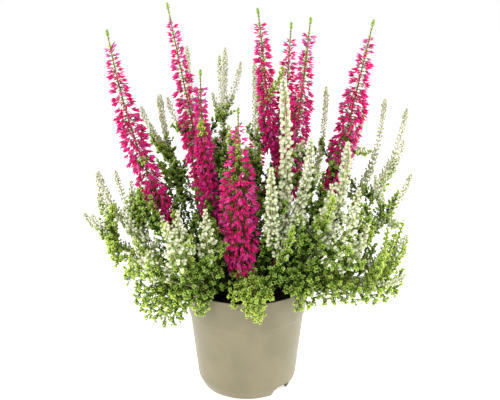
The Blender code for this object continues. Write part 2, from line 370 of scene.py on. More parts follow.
def ring_middles(name, sides):
    """The middles of the rings that a shoot's solid is made of, and its thickest radius."""
    points = np.unique(np.round([v.co for v in frame["nodes"][name].data.vertices], 6), axis=0)
    far = points[np.argmax(np.linalg.norm(points - points.mean(0), axis=1))]
    other = points[np.argmax(np.linalg.norm(points - far, axis=1))]
    rings = points[np.argsort((points - far) @ (other - far))].reshape(-1, sides, 3)
    middles = rings.mean(1)
    return middles, np.linalg.norm(rings - middles[:, None], axis=2).max()


def frame_slot(name):
    return next(row["material_slot"] for row in frame["record"]["subparts"] if row["node"] == name)


class Shoot:
    """A stem, leader or side shoot of the frame."""

    def __init__(self, node, sides, roots=None):
        middles, self.radius = ring_middles(node, sides)
        if roots is None:
            flip = middles[0][2] > middles[-1][2]
        else:
            near, far = (np.linalg.norm(roots - end, axis=1).min() for end in (middles[0], middles[-1]))
            flip = near > far
        if flip:
            middles = middles[::-1]
        share = np.linspace(0, 1, len(middles))
        fit = np.polyfit(share, middles, COURSE_POWER)
        self.course = Course(np.vander(np.linspace(0, 1, COURSE_POINTS), COURSE_POWER + 1) @ fit)
        self.node = node
        self.branch = node[: node.index("_stem" if roots is None else "_s")]
        self.leads = node.endswith("_spike")
        self.slot = frame_slot(node)
        self.tip = self.course.points[-1] / MM


def read_shoots():
    """The frame's stems, and the leaders and side shoots that they carry."""
    names = sorted(frame["nodes"])
    stems = [Shoot(name, STEM_SIDES) for name in names if name.endswith("_stem")]
    roots = np.concatenate([stem.course.points for stem in stems])
    carried = [name for name in names if "_spike" in name or "_side_" in name]
    return stems, [Shoot(name, SPIKE_SIDES, roots) for name in carried]


STEMS, SHOOTS = read_shoots()


def lowered(shoot, reach):
    """The course of a leader that starts this far down on its stem."""
    if reach == 0:
        return shoot.course
    stem = next(stem for stem in STEMS if stem.branch == shoot.branch)
    below, _, _ = stem.course.at(stem.course.length - reach * np.array([1.0, 0.66, 0.33]))
    return Course(np.concatenate([below, shoot.course.points[2:]]))


def bowed(course, middle, foot=(0, 0, 0)):
    """The course with its middle and its foot moved aside by these millimetres."""
    share = (course.reach / course.length)[:, None]
    shift = 4 * share * (1 - share) * np.array(middle) + (1 - share) ** 1.5 * np.array(foot)
    return Course(course.points + shift * MM)


# Small bodies


class Form:
    """A small closed body, one unit long and wide, that leaves, buds and petals are scaled from."""

    def __init__(self, points, around, faces):
        self.points = np.array(points)
        self.around = np.array(around)
        self.faces = np.array(faces)


def spindle(sides, rings, flatness=1.0):
    """A body pointed at both ends, with (height, width) rings between them."""
    turns = np.arange(sides) * math.tau / sides
    points = [(0.0, 0.0, 0.0)]
    around = [0.0]
    for height, width in rings:
        for turn in turns:
            points.append((math.cos(turn) * width / 2, math.sin(turn) * width / 2 * flatness, height))
            around.append(math.cos(turn))
    points.append((0.0, 0.0, 1.0))
    around.append(0.0)
    tip = len(points) - 1
    faces = []
    for i in range(sides):
        j = (i + 1) % sides
        faces.append((0, 1 + j, 1 + i))
        for ring in range(len(rings) - 1):
            low = 1 + ring * sides
            high = low + sides
            faces += [(low + i, low + j, high + j), (low + i, high + j, high + i)]
        faces.append((tip - sides + i, tip - sides + j, tip))
    return Form(points, around, faces)


def keeled(widest, keel):
    """A scale with a ridge below it, as heather leaves have."""
    points = [(0.0, 0.0, 0.0), (-0.5, keel, widest), (0.5, keel, widest), (0.0, 0.0, 1.0)]
    return Form(points, [0.0, -1.0, 1.0, 0.0], [(0, 1, 2), (3, 2, 1), (0, 2, 3), (0, 3, 1)])


LEAF = keeled(0.45, 0.24)
PETAL = spindle(4, [(0.5, 1.0)], 0.34)
BUD = spindle(6, [(0.16, 0.66), (0.52, 1.0), (0.84, 0.74)])
SMALL_BUD = spindle(5, [(0.28, 0.92), (0.72, 0.9)])
THIN_BUD = spindle(4, [(0.3, 0.95), (0.74, 0.88)])
GRAIN = spindle(5, [(0.25, 0.8), (0.7, 1.0)], 0.8)

LEAF_BREADTH = 0.64
LEAF_CURL = 0.08
BUD_BREADTH = 0.78
SHADE_MARGIN = 0.04
SHADE_STRIP = 0.03


class Gathering:
    """Gathers many small bodies and makes them one piece, with a map that places them by colour."""

    def __init__(self, name):
        self.name = name
        self.rng = np.random.default_rng(zlib.crc32(name.encode()))
        self.points = []
        self.faces = []
        self.slots = []
        self.map = []
        self.count = 0

    def take(self, points, faces, slot, shade, along, around):
        column = SLOTS.index(slot)
        shade = np.clip(shade, SHADE_MARGIN, 1 - SHADE_MARGIN) + around * SHADE_STRIP
        self.points.append(points)
        self.faces.append(faces + self.count)
        self.slots.append(np.full(len(faces), column))
        self.map.append(np.stack([(column + shade) / len(SLOTS), 0.02 + 0.96 * along], -1))
        self.count += len(points)

    def forms(self, form, at, forward, across, length, width, slot, shade, bend=0.0):
        """Places one form at each row of at, heading forward, its width lying across."""
        count = len(at)
        if count == 0:
            return
        length, width, shade, bend = (
            np.broadcast_to(value, count)[:, None] for value in (length, width, shade, bend)
        )
        beside = np.cross(forward, across)
        x, y, z = (form.points[:, axis][None] for axis in range(3))
        points = at[:, None] + across[:, None] * (x * width)[..., None]
        points = points + beside[:, None] * (y * width + bend * length * z * z)[..., None]
        points = points + forward[:, None] * (z * length)[..., None]
        corners = len(form.points)
        faces = form.faces[None] + (np.arange(count) * corners)[:, None, None]
        along = np.broadcast_to(z, (count, corners)).ravel()
        around = np.broadcast_to(form.around, (count, corners)).ravel()
        shade = np.broadcast_to(shade, (count, corners)).ravel()
        self.take(points.reshape(-1, 3), faces.reshape(-1, 3), slot, shade, along, around)

    def tubes(self, paths, radii, sides, slot, shade):
        """Closed tubes along paths, as (tubes, rings, 3), with a radius for each ring."""
        count, rings, _ = paths.shape
        if count == 0:
            return
        radii = np.broadcast_to(radii, (count, rings))
        headings = unit(np.gradient(paths, axis=1))
        across = square_to(headings[:, 0], np.array([0.8, 0.5, 0.3]))
        turns = np.arange(sides) * math.tau / sides
        layers = []
        for ring in range(rings):
            across = square_to(headings[:, ring], across)
            beside = np.cross(headings[:, ring], across)
            spoke = across[:, None] * np.cos(turns)[None, :, None]
            spoke = spoke + beside[:, None] * np.sin(turns)[None, :, None]
            layers.append(paths[:, ring, None] + spoke * radii[:, ring, None, None])
        points = np.stack(layers, 1).reshape(-1, 3)
        faces = []
        for i in range(sides):
            j = (i + 1) % sides
            for low in range(0, (rings - 1) * sides, sides):
                high = low + sides
                faces += [(low + i, low + j, high + j), (low + i, high + j, high + i)]
        last = (rings - 1) * sides
        for i in range(1, sides - 1):
            faces += [(0, i + 1, i), (last, last + i, last + i + 1)]
        faces = np.array(faces)[None] + (np.arange(count) * rings * sides)[:, None, None]
        along = np.tile(np.repeat(np.linspace(0, 1, rings), sides), count)
        around = np.tile(np.cos(turns), rings * count)
        shade = np.repeat(np.broadcast_to(shade, count), rings * sides)
        self.take(points, faces.reshape(-1, 3), slot, shade, along, around)

    def finished(self, slot, *nodes):
        """The piece, riding on the pot's body, in place of these nodes of the frame."""
        points = np.concatenate(self.points).astype(np.float32)
        faces = np.concatenate(self.faces).astype(np.int32)
        places = np.concatenate(self.map).astype(np.float32)
        slots = np.concatenate(self.slots)
        mesh = bpy.data.meshes.new(self.name)
        mesh.vertices.add(len(points))
        mesh.vertices.foreach_set("co", points.ravel())
        mesh.loops.add(faces.size)
        mesh.loops.foreach_set("vertex_index", faces.ravel())
        mesh.polygons.add(len(faces))
        mesh.polygons.foreach_set("loop_start", np.arange(0, faces.size, 3, dtype=np.int32))
        used, order = np.unique(slots, return_inverse=True)
        mesh.polygons.foreach_set("material_index", order.astype(np.int32))
        mesh.polygons.foreach_set("use_smooth", np.ones(len(faces), bool))
        mesh.update(calc_edges=True)
        layer = mesh.uv_layers.new(name=COLOUR_MAP)
        layer.uv.foreach_set("vector", places[faces.ravel()].ravel())
        for number in used:
            mesh.materials.append(growth_material(SLOTS[number]))
        return placed(bpy.data.objects.new(self.name, mesh), slot, *nodes)


def placed(obj, slot, *nodes):
    """Links a piece, lets it ride on the pot's body, and has it stand for these nodes."""
    bpy.context.scene.collection.objects.link(obj)
    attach(obj, BODY)
    if nodes:
        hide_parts(*nodes)
    return obj


# Growth along a course


def spaced(first, last, pitch):
    """Distances from first to last, with steps that follow pitch(distance)."""
    found = []
    place = first
    while place < last:
        found.append(place)
        place += pitch(place)
    return np.array(found)


def whorls(places, headings, acrosses, per_whorl, turn, lean, standoff):
    """(feet, directions, directions across) of what stands round each place."""
    angles = turn[:, None] + np.arange(per_whorl)[None] * math.tau / per_whorl
    besides = np.cross(headings, acrosses)
    outward = acrosses[:, None] * np.cos(angles)[..., None]
    outward = outward + besides[:, None] * np.sin(angles)[..., None]
    lean = np.broadcast_to(np.asarray(lean)[..., None], (len(places), per_whorl))[..., None]
    headings = np.broadcast_to(headings[:, None], outward.shape)
    forward = headings * np.cos(lean) + outward * np.sin(lean)
    feet = places[:, None] + outward * standoff
    across = np.cross(headings, outward)
    return feet.reshape(-1, 3), forward.reshape(-1, 3), across.reshape(-1, 3)


def how_far_out(places):
    """Distance of places from the plant's axis, as a share of the bush's reach at their height."""
    heights, reaches = np.array(BUSH).T * MM
    outward = np.hypot(places[:, 0], places[:, 1] / BUSH_DEPTH)
    return outward / np.interp(places[:, 2], heights, reaches)


def daylight(places):
    """Painted light: 0 deep in the bush, 1 at its outside, with painted shade in the recess at its front.
    """
    outward = (how_far_out(places) - SHADED_SHARE) / (1 - SHADED_SHARE)
    above = (places[:, 2] - OPEN_HEIGHT) / OPENING_STRETCH
    from_recess = (places[:, (0, 2)] - RECESS_MIDDLE) / RECESS_SPREAD
    recess = np.exp(-np.sum(from_recess ** 2, axis=1)) * (places[:, 1] < 0)
    return np.clip(np.maximum(outward, above), 0, 1) * (1 - RECESS_SHADE * recess)


def outside_pot(places):
    """True where a place is clear of the pot's wall, its rim and the peat."""
    from_axis = np.hypot(places[:, 0], places[:, 1])
    over_peat = (from_axis < INNER_RADIUS - INSIDE_GAP) & (places[:, 2] > PEAT_TOP + PEAT_GAP)
    over_rim = places[:, 2] > POT_HEIGHT + RIM_GAP
    beside_wall = from_axis > RIM_RADIUS + RIM_GAP
    return over_peat | over_rim | beside_wall


class Twigs:
    """Many thin twigs, each lifting towards the light as it grows."""

    def __init__(self, feet, ways, lengths, lift):
        clear = outside_pot(feet + ways * np.broadcast_to(lengths, len(feet))[:, None])
        self.feet = feet[clear]
        self.ways = ways[clear]
        self.lengths = np.broadcast_to(lengths, len(feet))[clear]
        self.lift = np.broadcast_to(lift, len(feet))[clear]
        self.clear = clear
        self.everyone = np.arange(clear.sum())

    def at(self, which, distance):
        """(places, headings) at a distance along each of these twigs."""
        rise = self.lift[which] * distance / self.lengths[which]
        places = self.feet[which] + self.ways[which] * distance[:, None]
        places = places + UP * (rise * distance)[:, None]
        return places, unit(self.ways[which] + UP * (2 * rise)[:, None])

    def steps(self, first, pitch):
        """(twig numbers, distances, shares) of evenly spaced places on every twig."""
        counts = np.maximum(((self.lengths - first) / pitch).astype(int), 0)
        which = np.repeat(self.everyone, counts)
        start = np.repeat(np.cumsum(counts) - counts, counts)
        distance = first + pitch * (np.arange(len(which)) - start)
        return which, distance, distance / self.lengths[which]

    def add_bark(self, out, radius, slot, shade):
        ends = [self.at(self.everyone, self.lengths * share)[0] for share in (0.0, 1.0)]
        out.tubes(np.stack(ends, 1), radius * np.array([1.0, 0.6]), 3, slot, shade)


# Stalks are meshed with this many rings, and whorls are measured from a way that no shoot heads
STALK_RINGS = 14
ODD_WAY = np.array([0.31, 0.72, 0.17])

# How twigs turn round a shoot, how far leaves stand off, how much painted daylight lightens a leaf, how
# much painted shade darkens a twig's foot, and how pale a twig's end is, young leaves in painted light
GOLDEN_TURN = 2.4
LEAF_STANDOFF = 0.25 * MM
LEAF_DAYLIGHT = 0.45
TWIG_SHADE = 0.4
ROSETTE_LIGHT = 0.26

# Whorls of a twig's rosette: leaf lengths back from its end, lean, leaf size and number of leaves
ROSETTE = ((0.45, 0.85, 1.05, 4), (0.2, 0.4, 0.85, 3))


def add_stalk(out, course, foot, head, radius, top_radius, shade, sides=5):
    """The woody stem inside a shoot."""
    share = np.linspace(0, 1, STALK_RINGS)
    places, _, _ = course.at(foot + (head - foot) * share)
    out.tubes(places[None], blend(radius, top_radius, share)[None], sides, "bark", shade)


def add_leaves(out, places, headings, length, lean, tone, per_node=3):
    """Whorls of scale leaves, each whorl turned against the last."""
    clear = outside_pot(places)
    length, lean, tone = (np.broadcast_to(rows, len(clear))[clear] for rows in (length, lean, tone))
    places, headings = places[clear], headings[clear]
    count = len(places)
    hint = unit(np.cross(headings, ODD_WAY))
    turn = np.arange(count) * math.pi / per_node + out.rng.uniform(-0.4, 0.4, count)
    feet, forward, across = whorls(places, headings, hint, per_node, turn, lean, LEAF_STANDOFF)
    forward = unit(forward + out.rng.uniform(-0.15, 0.15, forward.shape))
    length = np.repeat(length, per_node) * out.rng.uniform(0.8, 1.15, len(feet))
    lit = np.repeat(tone + LEAF_DAYLIGHT * daylight(places), per_node)
    shade = lit + out.rng.uniform(-0.12, 0.12, len(feet))
    across = square_to(forward, across)
    out.forms(LEAF, feet, forward, across, length, length * LEAF_BREADTH, "leaf", shade, LEAF_CURL)


def add_leafy_twigs(out, twigs, leaf, tone):
    """Twigs clothed with leaves, in painted shade at the foot and ending in a pale rosette in painted
    light.
    """
    tone = np.broadcast_to(tone, len(twigs.clear))[twigs.clear]
    twigs.add_bark(out, 0.4 * MM, "leaf", 0.2)
    which, distance, share = twigs.steps(0.9 * MM, leaf * 0.55)
    places, headings = twigs.at(which, distance)
    # Painted shade: leaves darken towards a twig's foot, inside the cluster
    shade = tone[which] - TWIG_SHADE + 0.55 * share ** 3
    add_leaves(out, places, headings, leaf * 0.95, blend(0.95, 0.7, share), shade, 2)
    for back, lean, size, leaves in ROSETTE:
        places, headings = twigs.at(twigs.everyone, np.maximum(twigs.lengths - back * leaf, 0.1 * MM))
        add_leaves(out, places, headings, leaf * size, lean, tone + ROSETTE_LIGHT, leaves)


def grow_leafy(out, course, first, last, reach, leaf, tone, pitch=2.7 * MM, bluntness=0.3):
    """A leafy shoot: leaves on its own stem, and leafy twigs of this reach and pitch all round it."""
    rng = out.rng
    span = course.length - first
    distance = np.arange(first, last, leaf * 0.6)
    places, headings, _ = course.at(distance)
    share = (distance - first) / span
    # Painted shade: the leaves on the shoot's own stem darken towards its foot
    add_leaves(out, places, headings, leaf * blend(1.05, 0.85, share), 0.75, tone - 0.35 + 0.5 * share ** 2)
    distance = np.arange(first, min(last, course.length - 3 * MM), pitch)
    share = (distance - first) / span
    turn = np.arange(len(distance)) * GOLDEN_TURN + rng.uniform(0, math.tau)
    feet, ways, _ = whorls(*course.at(distance), 1, turn, blend(1.15, 0.6, share), 0.3 * MM)
    length = reach * blend(1.0, bluntness, share ** 1.6) * rng.uniform(0.65, 1.15, len(feet))
    twigs = Twigs(feet, ways, length, rng.uniform(0.2, 0.5, len(feet)))
    add_leafy_twigs(out, twigs, leaf * 0.92, tone + 0.15 * share)


@dataclass
class BudStyle:
    """How a bud spike grows."""

    form: Form  # body of a bud
    size: float  # of a bud, as a share of a full one
    reach: float  # of the longest twigs
    budded: float  # share of the spike that carries buds
    tone: float  # of the buds, from green to white
    leafiest: float  # share of the lowest twigs that carries leaves
    per_whorl: int  # twigs that stand round one place
    pairs: int  # pairs of buds down a twig's sides
    pitch: float  # between whorls, in bud lengths
    taper: float  # length of the pointed top
    swell: float  # how late the twigs lengthen, as a power
    foot_reach: float  # of the leafy twigs below the buds
    columns: bool = False  # whether the twigs stand in straight columns


FRONT_LEADER = BudStyle(
    form=BUD, size=1.22, reach=11.5 * MM, budded=0.97, tone=0.56, leafiest=0.15, per_whorl=4, pairs=2,
    pitch=2.1, taper=18 * MM, swell=1.2, foot_reach=10 * MM, columns=True,
)
FRONT_SECOND = replace(
    FRONT_LEADER, size=1.05, reach=9.5 * MM, budded=0.85, tone=0.52, leafiest=0.2, pitch=2.0,
    foot_reach=9 * MM,
)
FRONT_SIDE = BudStyle(
    form=SMALL_BUD, size=1.02, reach=12 * MM, budded=0.55, tone=0.5, leafiest=0.6, per_whorl=3, pairs=1,
    pitch=1.6, taper=22 * MM, swell=1.3, foot_reach=11 * MM,
)
FRONT_SPRIG = replace(
    FRONT_SIDE, size=0.9, reach=9 * MM, budded=0.4, tone=0.54, pitch=1.5, taper=20 * MM, swell=1.4,
    foot_reach=9 * MM,
)
SIDE_SPIKE = BudStyle(
    form=THIN_BUD, size=0.76, reach=6.5 * MM, budded=0.62, tone=0.58, leafiest=0.4, per_whorl=4, pairs=1,
    pitch=1.5, taper=8 * MM, swell=3.2, foot_reach=8 * MM,
)
BACK_SPIKE = replace(
    SIDE_SPIKE, size=0.74, reach=4.4 * MM, budded=0.8, tone=0.68, leafiest=0.0, pairs=0, pitch=1.15,
    taper=10 * MM, swell=1.2, foot_reach=9 * MM,
)


# Where a bud spike's tip has to stand for a style, in millimetres across and from front to back
BACK_FROM_Y = 28
BACK_WITHIN_X = 125
FRONT_UP_TO_Y = -34
FRONT_WITHIN_X = 120
LEADER_X = (20, 100)
FRONT_SPRIG_UP_TO_Y = -50


def style_of(tip, leads=False, branch=""):
    """The style of a bud spike by where its tip, in millimetres, stands in the bush."""
    if tip[1] > BACK_FROM_Y and abs(tip[0]) < BACK_WITHIN_X:
        return BACK_SPIKE
    if tip[1] > FRONT_UP_TO_Y or abs(tip[0]) > FRONT_WITHIN_X:
        return SIDE_SPIKE
    if leads and LEADER_X[0] < tip[0] < LEADER_X[1]:
        return FRONT_LEADER
    if branch == "front_white":
        return FRONT_SECOND
    return FRONT_SIDE


# Whorls of a bud spike, in bud lengths: least distance apart, and each column's slip up the stem
TIGHTEST_PITCH = 0.5
COLUMN_SLIP = (0.0, 0.5, 0.25, -0.25)

# How far a pair of buds spreads from its twig, in radians
BUD_SPREAD = 0.8


def grow_buds(out, course, first, style):
    """A bud spike, tight at the tip, whose whorls of budded twigs lengthen towards a leafy foot."""
    rng = out.rng
    size = style.size
    bud = growth().bud_length * size
    foot = blend(course.length, first, style.budded)
    span = course.length - foot
    add_stalk(out, course, first, course.length - 1 * MM, 0.95 * MM * size, 0.35 * MM * size, 0.96)

    def share_of(place):
        return (course.length - place) / span

    def pitch(place):
        return blend(TIGHTEST_PITCH, style.pitch, min(1, share_of(place) * 2.2)) * bud

    distance = spaced(foot, course.length - 0.5 * bud, pitch)
    places, headings, acrosses = course.at(distance)
    share = share_of(distance)
    fullness = np.minimum(1, share * span / style.taper)
    count = style.per_whorl
    turn = math.pi / 4 + rng.uniform(-0.25, 0.25, len(distance))
    if not style.columns:
        turn = turn + np.arange(len(distance)) * math.pi / count
    lean = blend(0.5, 1.15, fullness)
    feet, ways, _ = whorls(places, headings, acrosses, count, turn, lean, 0.5 * MM * size)
    share = np.repeat(share, count)
    fullness = np.repeat(fullness, count)
    longest = max(0.0, style.reach - bud)
    length = blend(0.15 * bud, longest, np.minimum(1, share * 1.3) ** style.swell)
    length = length * rng.uniform(0.75, 1.15, len(feet))
    if style.columns:
        slip = np.tile(COLUMN_SLIP, len(distance)) * bud * fullness
        feet = feet + np.repeat(headings, count, 0) * slip[:, None]
    twigs = Twigs(feet, ways, length * fullness + 0.2 * MM, blend(0.1, 0.45, share))
    leafy = blend(0.0, style.leafiest, share[twigs.clear] ** 0.7)
    add_budded_twigs(out, twigs, leafy, style, bud * blend(0.58, 1.0, fullness[twigs.clear]))
    tip, heading, across = course.at(np.array([course.length]))
    tip = tip - heading * bud * 0.6
    out.forms(style.form, tip, heading, across, bud * 0.8, bud * 0.45, "bud", style.tone - 0.15)
    if style.budded < 1:
        leaf = growth().leaf_length
        lower = course.part(first, min(foot + 12 * MM, course.length), PART_POINTS)
        grow_leafy(out, lower, 0.0, lower.length, style.foot_reach, leaf, 0.12, 3.0 * MM)


def add_budded_twigs(out, twigs, leafy, style, bud):
    """Twigs with a bud at the end, pairs of buds down their sides, and leaves on their leafy share."""
    rng = out.rng
    twigs.add_bark(out, 0.35 * MM, "bark", 0.8)
    hint = unit(rng.normal(0, 1, (len(twigs.feet), 3)))
    for pair in range(style.pairs + 1):
        distance = twigs.lengths - pair * 0.5 * bud + 0.3 * MM
        which = twigs.everyone
        if pair:
            which = which[distance > np.maximum(leafy * twigs.lengths - 0.2 * bud, 0.2 * MM)]
        distance = np.maximum(distance, 0.1 * MM)
        places, headings = twigs.at(which, distance[which])
        aside = square_to(headings, hint[which])
        if pair % 2:
            aside = np.cross(headings, aside)
        for side in (0,) if pair == 0 else (-BUD_SPREAD, BUD_SPREAD):
            forward = unit(headings * math.cos(side) + aside * math.sin(side) + UP * 0.25)
            forward = unit(forward + rng.uniform(-0.15, 0.15, forward.shape))
            across = square_to(forward, np.cross(forward, UP))
            length = bud[which] * rng.uniform(0.82, 1.12, len(which))
            # Buds are paler where painted daylight falls on them
            shade = style.tone + 0.12 * daylight(places) + rng.uniform(-0.2, 0.2, len(which))
            out.forms(style.form, places, forward, across, length, length * BUD_BREADTH, "bud", shade)
    leaf = growth().leaf_length * 0.85
    which, distance, share = twigs.steps(0.6 * MM, leaf * 0.5)
    chosen = distance < twigs.lengths[which] - 0.4 * bud[which]
    places, headings = twigs.at(which[chosen], distance[chosen])
    add_leaves(out, places, headings, leaf, 0.85, 0.1 + 0.3 * share[chosen])


# Whorls of a pink spike's leafy knob: millimetres below the tip, leaf size and lean
KNOB = (
    (14, 0.7, 0.8), (11.2, 0.7, 0.8), (8.6, 0.8, 0.6), (8.2, 0.7, 0.8), (5.4, 0.95, 0.9),
    (4.8, 1.15, 0.5), (4.1, 1.15, 0.42), (3.3, 1.1, 0.36), (2.4, 1.0, 0.3), (1.4, 0.8, 0.2),
)
KNOB_TONE = 0.12

# Its florets start this far below the tip, in sparse bands: from and to as shares, and florets a whorl
BARE_TOP = 15 * MM
SPARSE_BANDS = ((0, 0.14, 2), (0.14, 0.36, 4))
FLORET_WIDTH = 1.65 * MM


def add_knob(out, course):
    """The leafy knob at a pink spike's tip, and the few leaves below it."""
    below, size, lean = np.array(KNOB).T
    places, headings, _ = course.at(course.length - below * MM)
    add_leaves(out, places, headings, growth().leaf_length * size, lean, KNOB_TONE, 4)


def grow_florets(out, course, first, reach, tone, late=0.0):
    """A pink spike: a leafy knob at the very tip, sparse below it, then thick with hanging florets.

    The top of a late spike is still in bud, over the length that late gives.
    """
    rng = out.rng
    add_stalk(out, course, first, course.length - max(2 * MM, late), 1.1 * MM, 0.5 * MM, 0.4)
    add_knob(out, course)
    if late:
        grow_buds(out, course.part(course.length - late, course.length, PART_POINTS), 0.0, BACK_SPIKE)
    top = course.length - max(BARE_TOP, late)
    span = top - first

    every = spaced(first, top, lambda place: blend(3.4, 2.8, min(1, (top - place) / span * 3)) * MM)
    share = (top - every) / span
    thick_band = (SPARSE_BANDS[-1][1], math.inf, round(reach / FLORET_WIDTH))
    for start, end, per_whorl in (*SPARSE_BANDS, thick_band):
        chosen = (share >= start) & (share < end)
        part = np.repeat(share[chosen], per_whorl)
        turn = np.arange(chosen.sum()) * math.pi / 2 + rng.uniform(-0.8, 0.8, chosen.sum())
        feet, ways, _ = whorls(*course.at(every[chosen]), per_whorl, turn, 1.35, 0.7 * MM)
        ways = unit(ways + rng.uniform(-0.3, 0.3, ways.shape))
        fullness = np.minimum(1, part / 0.45) ** 1.2 * (1 - 0.3 * np.clip((part - 0.85) / 0.15, 0, 1))
        length = (reach - growth().petal_length) * fullness
        length = np.maximum(0.8 * MM, length) * rng.uniform(0.1, 1.25, len(feet)) ** 0.5
        sag = -0.5 * np.minimum(1, part * 1.4) - 0.8 * np.clip((part - 0.75) / 0.25, 0, 1)
        twigs = Twigs(feet, ways, length, sag * 0.5)
        twigs.add_bark(out, 0.3 * MM, "bark", 0.4)
        heads, there = twigs.at(twigs.everyone, twigs.lengths)
        shade = tone + 0.35 * np.clip(1 - part[twigs.clear] * 4, 0, 1)
        add_florets(out, heads, unit(there + UP * sag[twigs.clear][:, None]), shade)
    places, headings, _ = course.at(np.arange(first, top, 4 * MM))
    add_leaves(out, places, headings, growth().leaf_length, 0.95, 0.05)


def add_florets(out, feet, ways, tone):
    """Narrow open bells, each of four pointed petals in a green cup of two small leaves."""
    rng = out.rng
    count = len(feet)
    hint = square_to(ways, unit(rng.normal(0, 1, (count, 3))))
    size = rng.uniform(0.8, 1.12, count)
    tint = tone + rng.uniform(-0.3, 0.35, count)
    opening = rng.uniform(0.1, 0.4, count)
    petal_feet, forward, across = whorls(feet, ways, hint, 4, np.zeros(count), opening, 0.4 * MM)
    forward = unit(forward + rng.uniform(-0.1, 0.1, forward.shape))
    length = np.repeat(size, 4) * rng.uniform(0.85, 1.1, count * 4) * growth().petal_length
    width = length * rng.uniform(0.28, 0.38, count * 4)
    tints = np.repeat(tint, 4) + rng.uniform(-0.1, 0.1, count * 4)
    bend = rng.uniform(-0.12, 0.12, count * 4)
    out.forms(PETAL, petal_feet, forward, square_to(forward, across), length, width, "petal", tints, bend)
    cup_feet, forward, across = whorls(feet, ways, hint, 2, np.full(count, 0.8), 0.65, 0.3 * MM)
    shade = rng.uniform(0.05, 0.5, len(cup_feet))
    out.forms(LEAF, cup_feet, forward, across, 2.0 * MM, 1.1 * MM, "leaf", shade)


# Pot and peat


def rounded(corners, steps=3):
    """The outline with each corner, as (radius, height, rounding in millimetres), made an arc."""
    found = []
    for number, (radius, height, rounding) in enumerate(corners):
        here = np.array([radius, height])
        if rounding == 0:
            found.append(here)
            continue
        back = np.array(corners[number - 1][:2]) - here
        ahead = np.array(corners[number + 1][:2]) - here
        reach = min(rounding * MM, 0.45 * np.linalg.norm(back), 0.45 * np.linalg.norm(ahead))
        first = here + unit(back) * reach
        last = here + unit(ahead) * reach
        for t in np.linspace(0, 1, steps + 1):
            found.append(first * (1 - t) ** 2 + here * 2 * t * (1 - t) + last * t * t)
    return found


def object_from(name, bm):
    """A new object with the mesh that was built, its faces turned outward."""
    bmesh.ops.recalc_face_normals(bm, faces=bm.faces)
    mesh = bpy.data.meshes.new(name)
    bm.to_mesh(mesh)
    bm.free()
    return bpy.data.objects.new(name, mesh)


def lathed(name, outline, segments):
    """A solid of revolution whose outline starts and ends on the axis."""
    bm = bmesh.new()
    corners = [bm.verts.new((radius, 0, height)) for radius, height in outline]
    edges = [bm.edges.new(pair) for pair in zip(corners, corners[1:])]
    turn = {"axis": (0, 0, 1), "cent": (0, 0, 0), "angle": math.tau}
    bmesh.ops.spin(bm, geom=corners + edges, steps=segments, use_merge=True, **turn)
    bmesh.ops.remove_doubles(bm, verts=bm.verts, dist=0.001 * MM)
    made = object_from(name, bm)
    made.data.shade_smooth()
    return made


def pot_outline():
    """From the middle of the floor's underside, up the outside, over the rim and down the inside."""
    return rounded([
        (0, FLOOR_UNDERSIDE, 0),
        (FLOOR_RADIUS, FLOOR_UNDERSIDE, 1.0),
        (FOOT_INNER_RADIUS, 0, 0.5),
        (FOOT_RADIUS, 0, 0.7),
        (wall_radius(FOOT_HEIGHT), FOOT_HEIGHT, 2.0),
        (wall_radius(BAND_FOOT), BAND_FOOT, 0.5),
        (band_radius(BAND_BOTTOM), BAND_BOTTOM, 0.8),
        (RIM_RADIUS, POT_HEIGHT - LIP, 0.5),
        (RIM_RADIUS - 0.5 * MM, POT_HEIGHT, 0.4),
        (INNER_RADIUS, POT_HEIGHT - LIP, 0.5),
        (band_radius(BAND_BOTTOM) - WALL, BAND_BOTTOM, 0.8),
        (wall_radius(BAND_FOOT) - WALL, BAND_FOOT, 0.5),
        (wall_radius(FLOOR_TOP) - WALL, FLOOR_TOP, 1.0),
        (FOOT_RADIUS - WALL, FOLD_BOTTOM, 0.3),
        (FOOT_INNER_RADIUS + LIP, FOLD_BOTTOM, 0.3),
        (FLOOR_RADIUS + WALL, FLOOR_TOP, 0.6),
        (0, FLOOR_TOP, 0),
    ])


def notch_cutter(turn):
    """A block with rounded upper edges, through the foot's outer wall and its inner fold."""
    bm = bmesh.new()
    bottom, top, below = NOTCH_BOTTOM_WIDTH / 2, NOTCH_TOP_WIDTH / 2, -2 * MM
    arch = [(-bottom, below), (bottom, below), (top, NOTCH_HEIGHT), (-top, NOTCH_HEIGHT)]
    face = bm.faces.new([bm.verts.new((x, -NOTCH_FROM, z)) for x, z in arch])
    pulled = bmesh.ops.extrude_face_region(bm, geom=[face])["geom"]
    moved = [item for item in pulled if isinstance(item, bmesh.types.BMVert)]
    bmesh.ops.translate(bm, verts=moved, vec=(0, NOTCH_FROM - NOTCH_TO, 0))
    upper = [
        edge for edge in bm.edges
        if min(v.co.z for v in edge.verts) > 0 and edge.verts[0].co.x == edge.verts[1].co.x
    ]
    bmesh.ops.bevel(bm, geom=upper, offset=NOTCH_ROUNDING, segments=5, affect="EDGES")
    cutter = object_from("notch_cutter", bm)
    cutter.rotation_euler.z = math.radians(turn)
    return cutter


def make_pot(settings):
    """The pot with its two drainage notches."""
    linked = bpy.context.scene.collection.objects
    blank = lathed("pot_blank", pot_outline(), settings.segments)
    cutters = [notch_cutter(turn) for turn in NOTCH_TURNS]
    for obj in (blank, *cutters):
        linked.link(obj)
    for cutter in cutters:
        cut = blank.modifiers.new("drainage_notch", "BOOLEAN")
        cut.operation = "DIFFERENCE"
        cut.object = cutter
    graph = bpy.context.evaluated_depsgraph_get()
    mesh = bpy.data.meshes.new_from_object(blank.evaluated_get(graph))
    mesh.set_sharp_from_angle(angle=math.radians(40))
    for obj in (blank, *cutters):
        bpy.data.objects.remove(obj)
    mesh.materials.clear()
    mesh.materials.append(pot_material(settings))
    return placed(bpy.data.objects.new("nursery_pot", mesh), "pot_plastic", "pot")


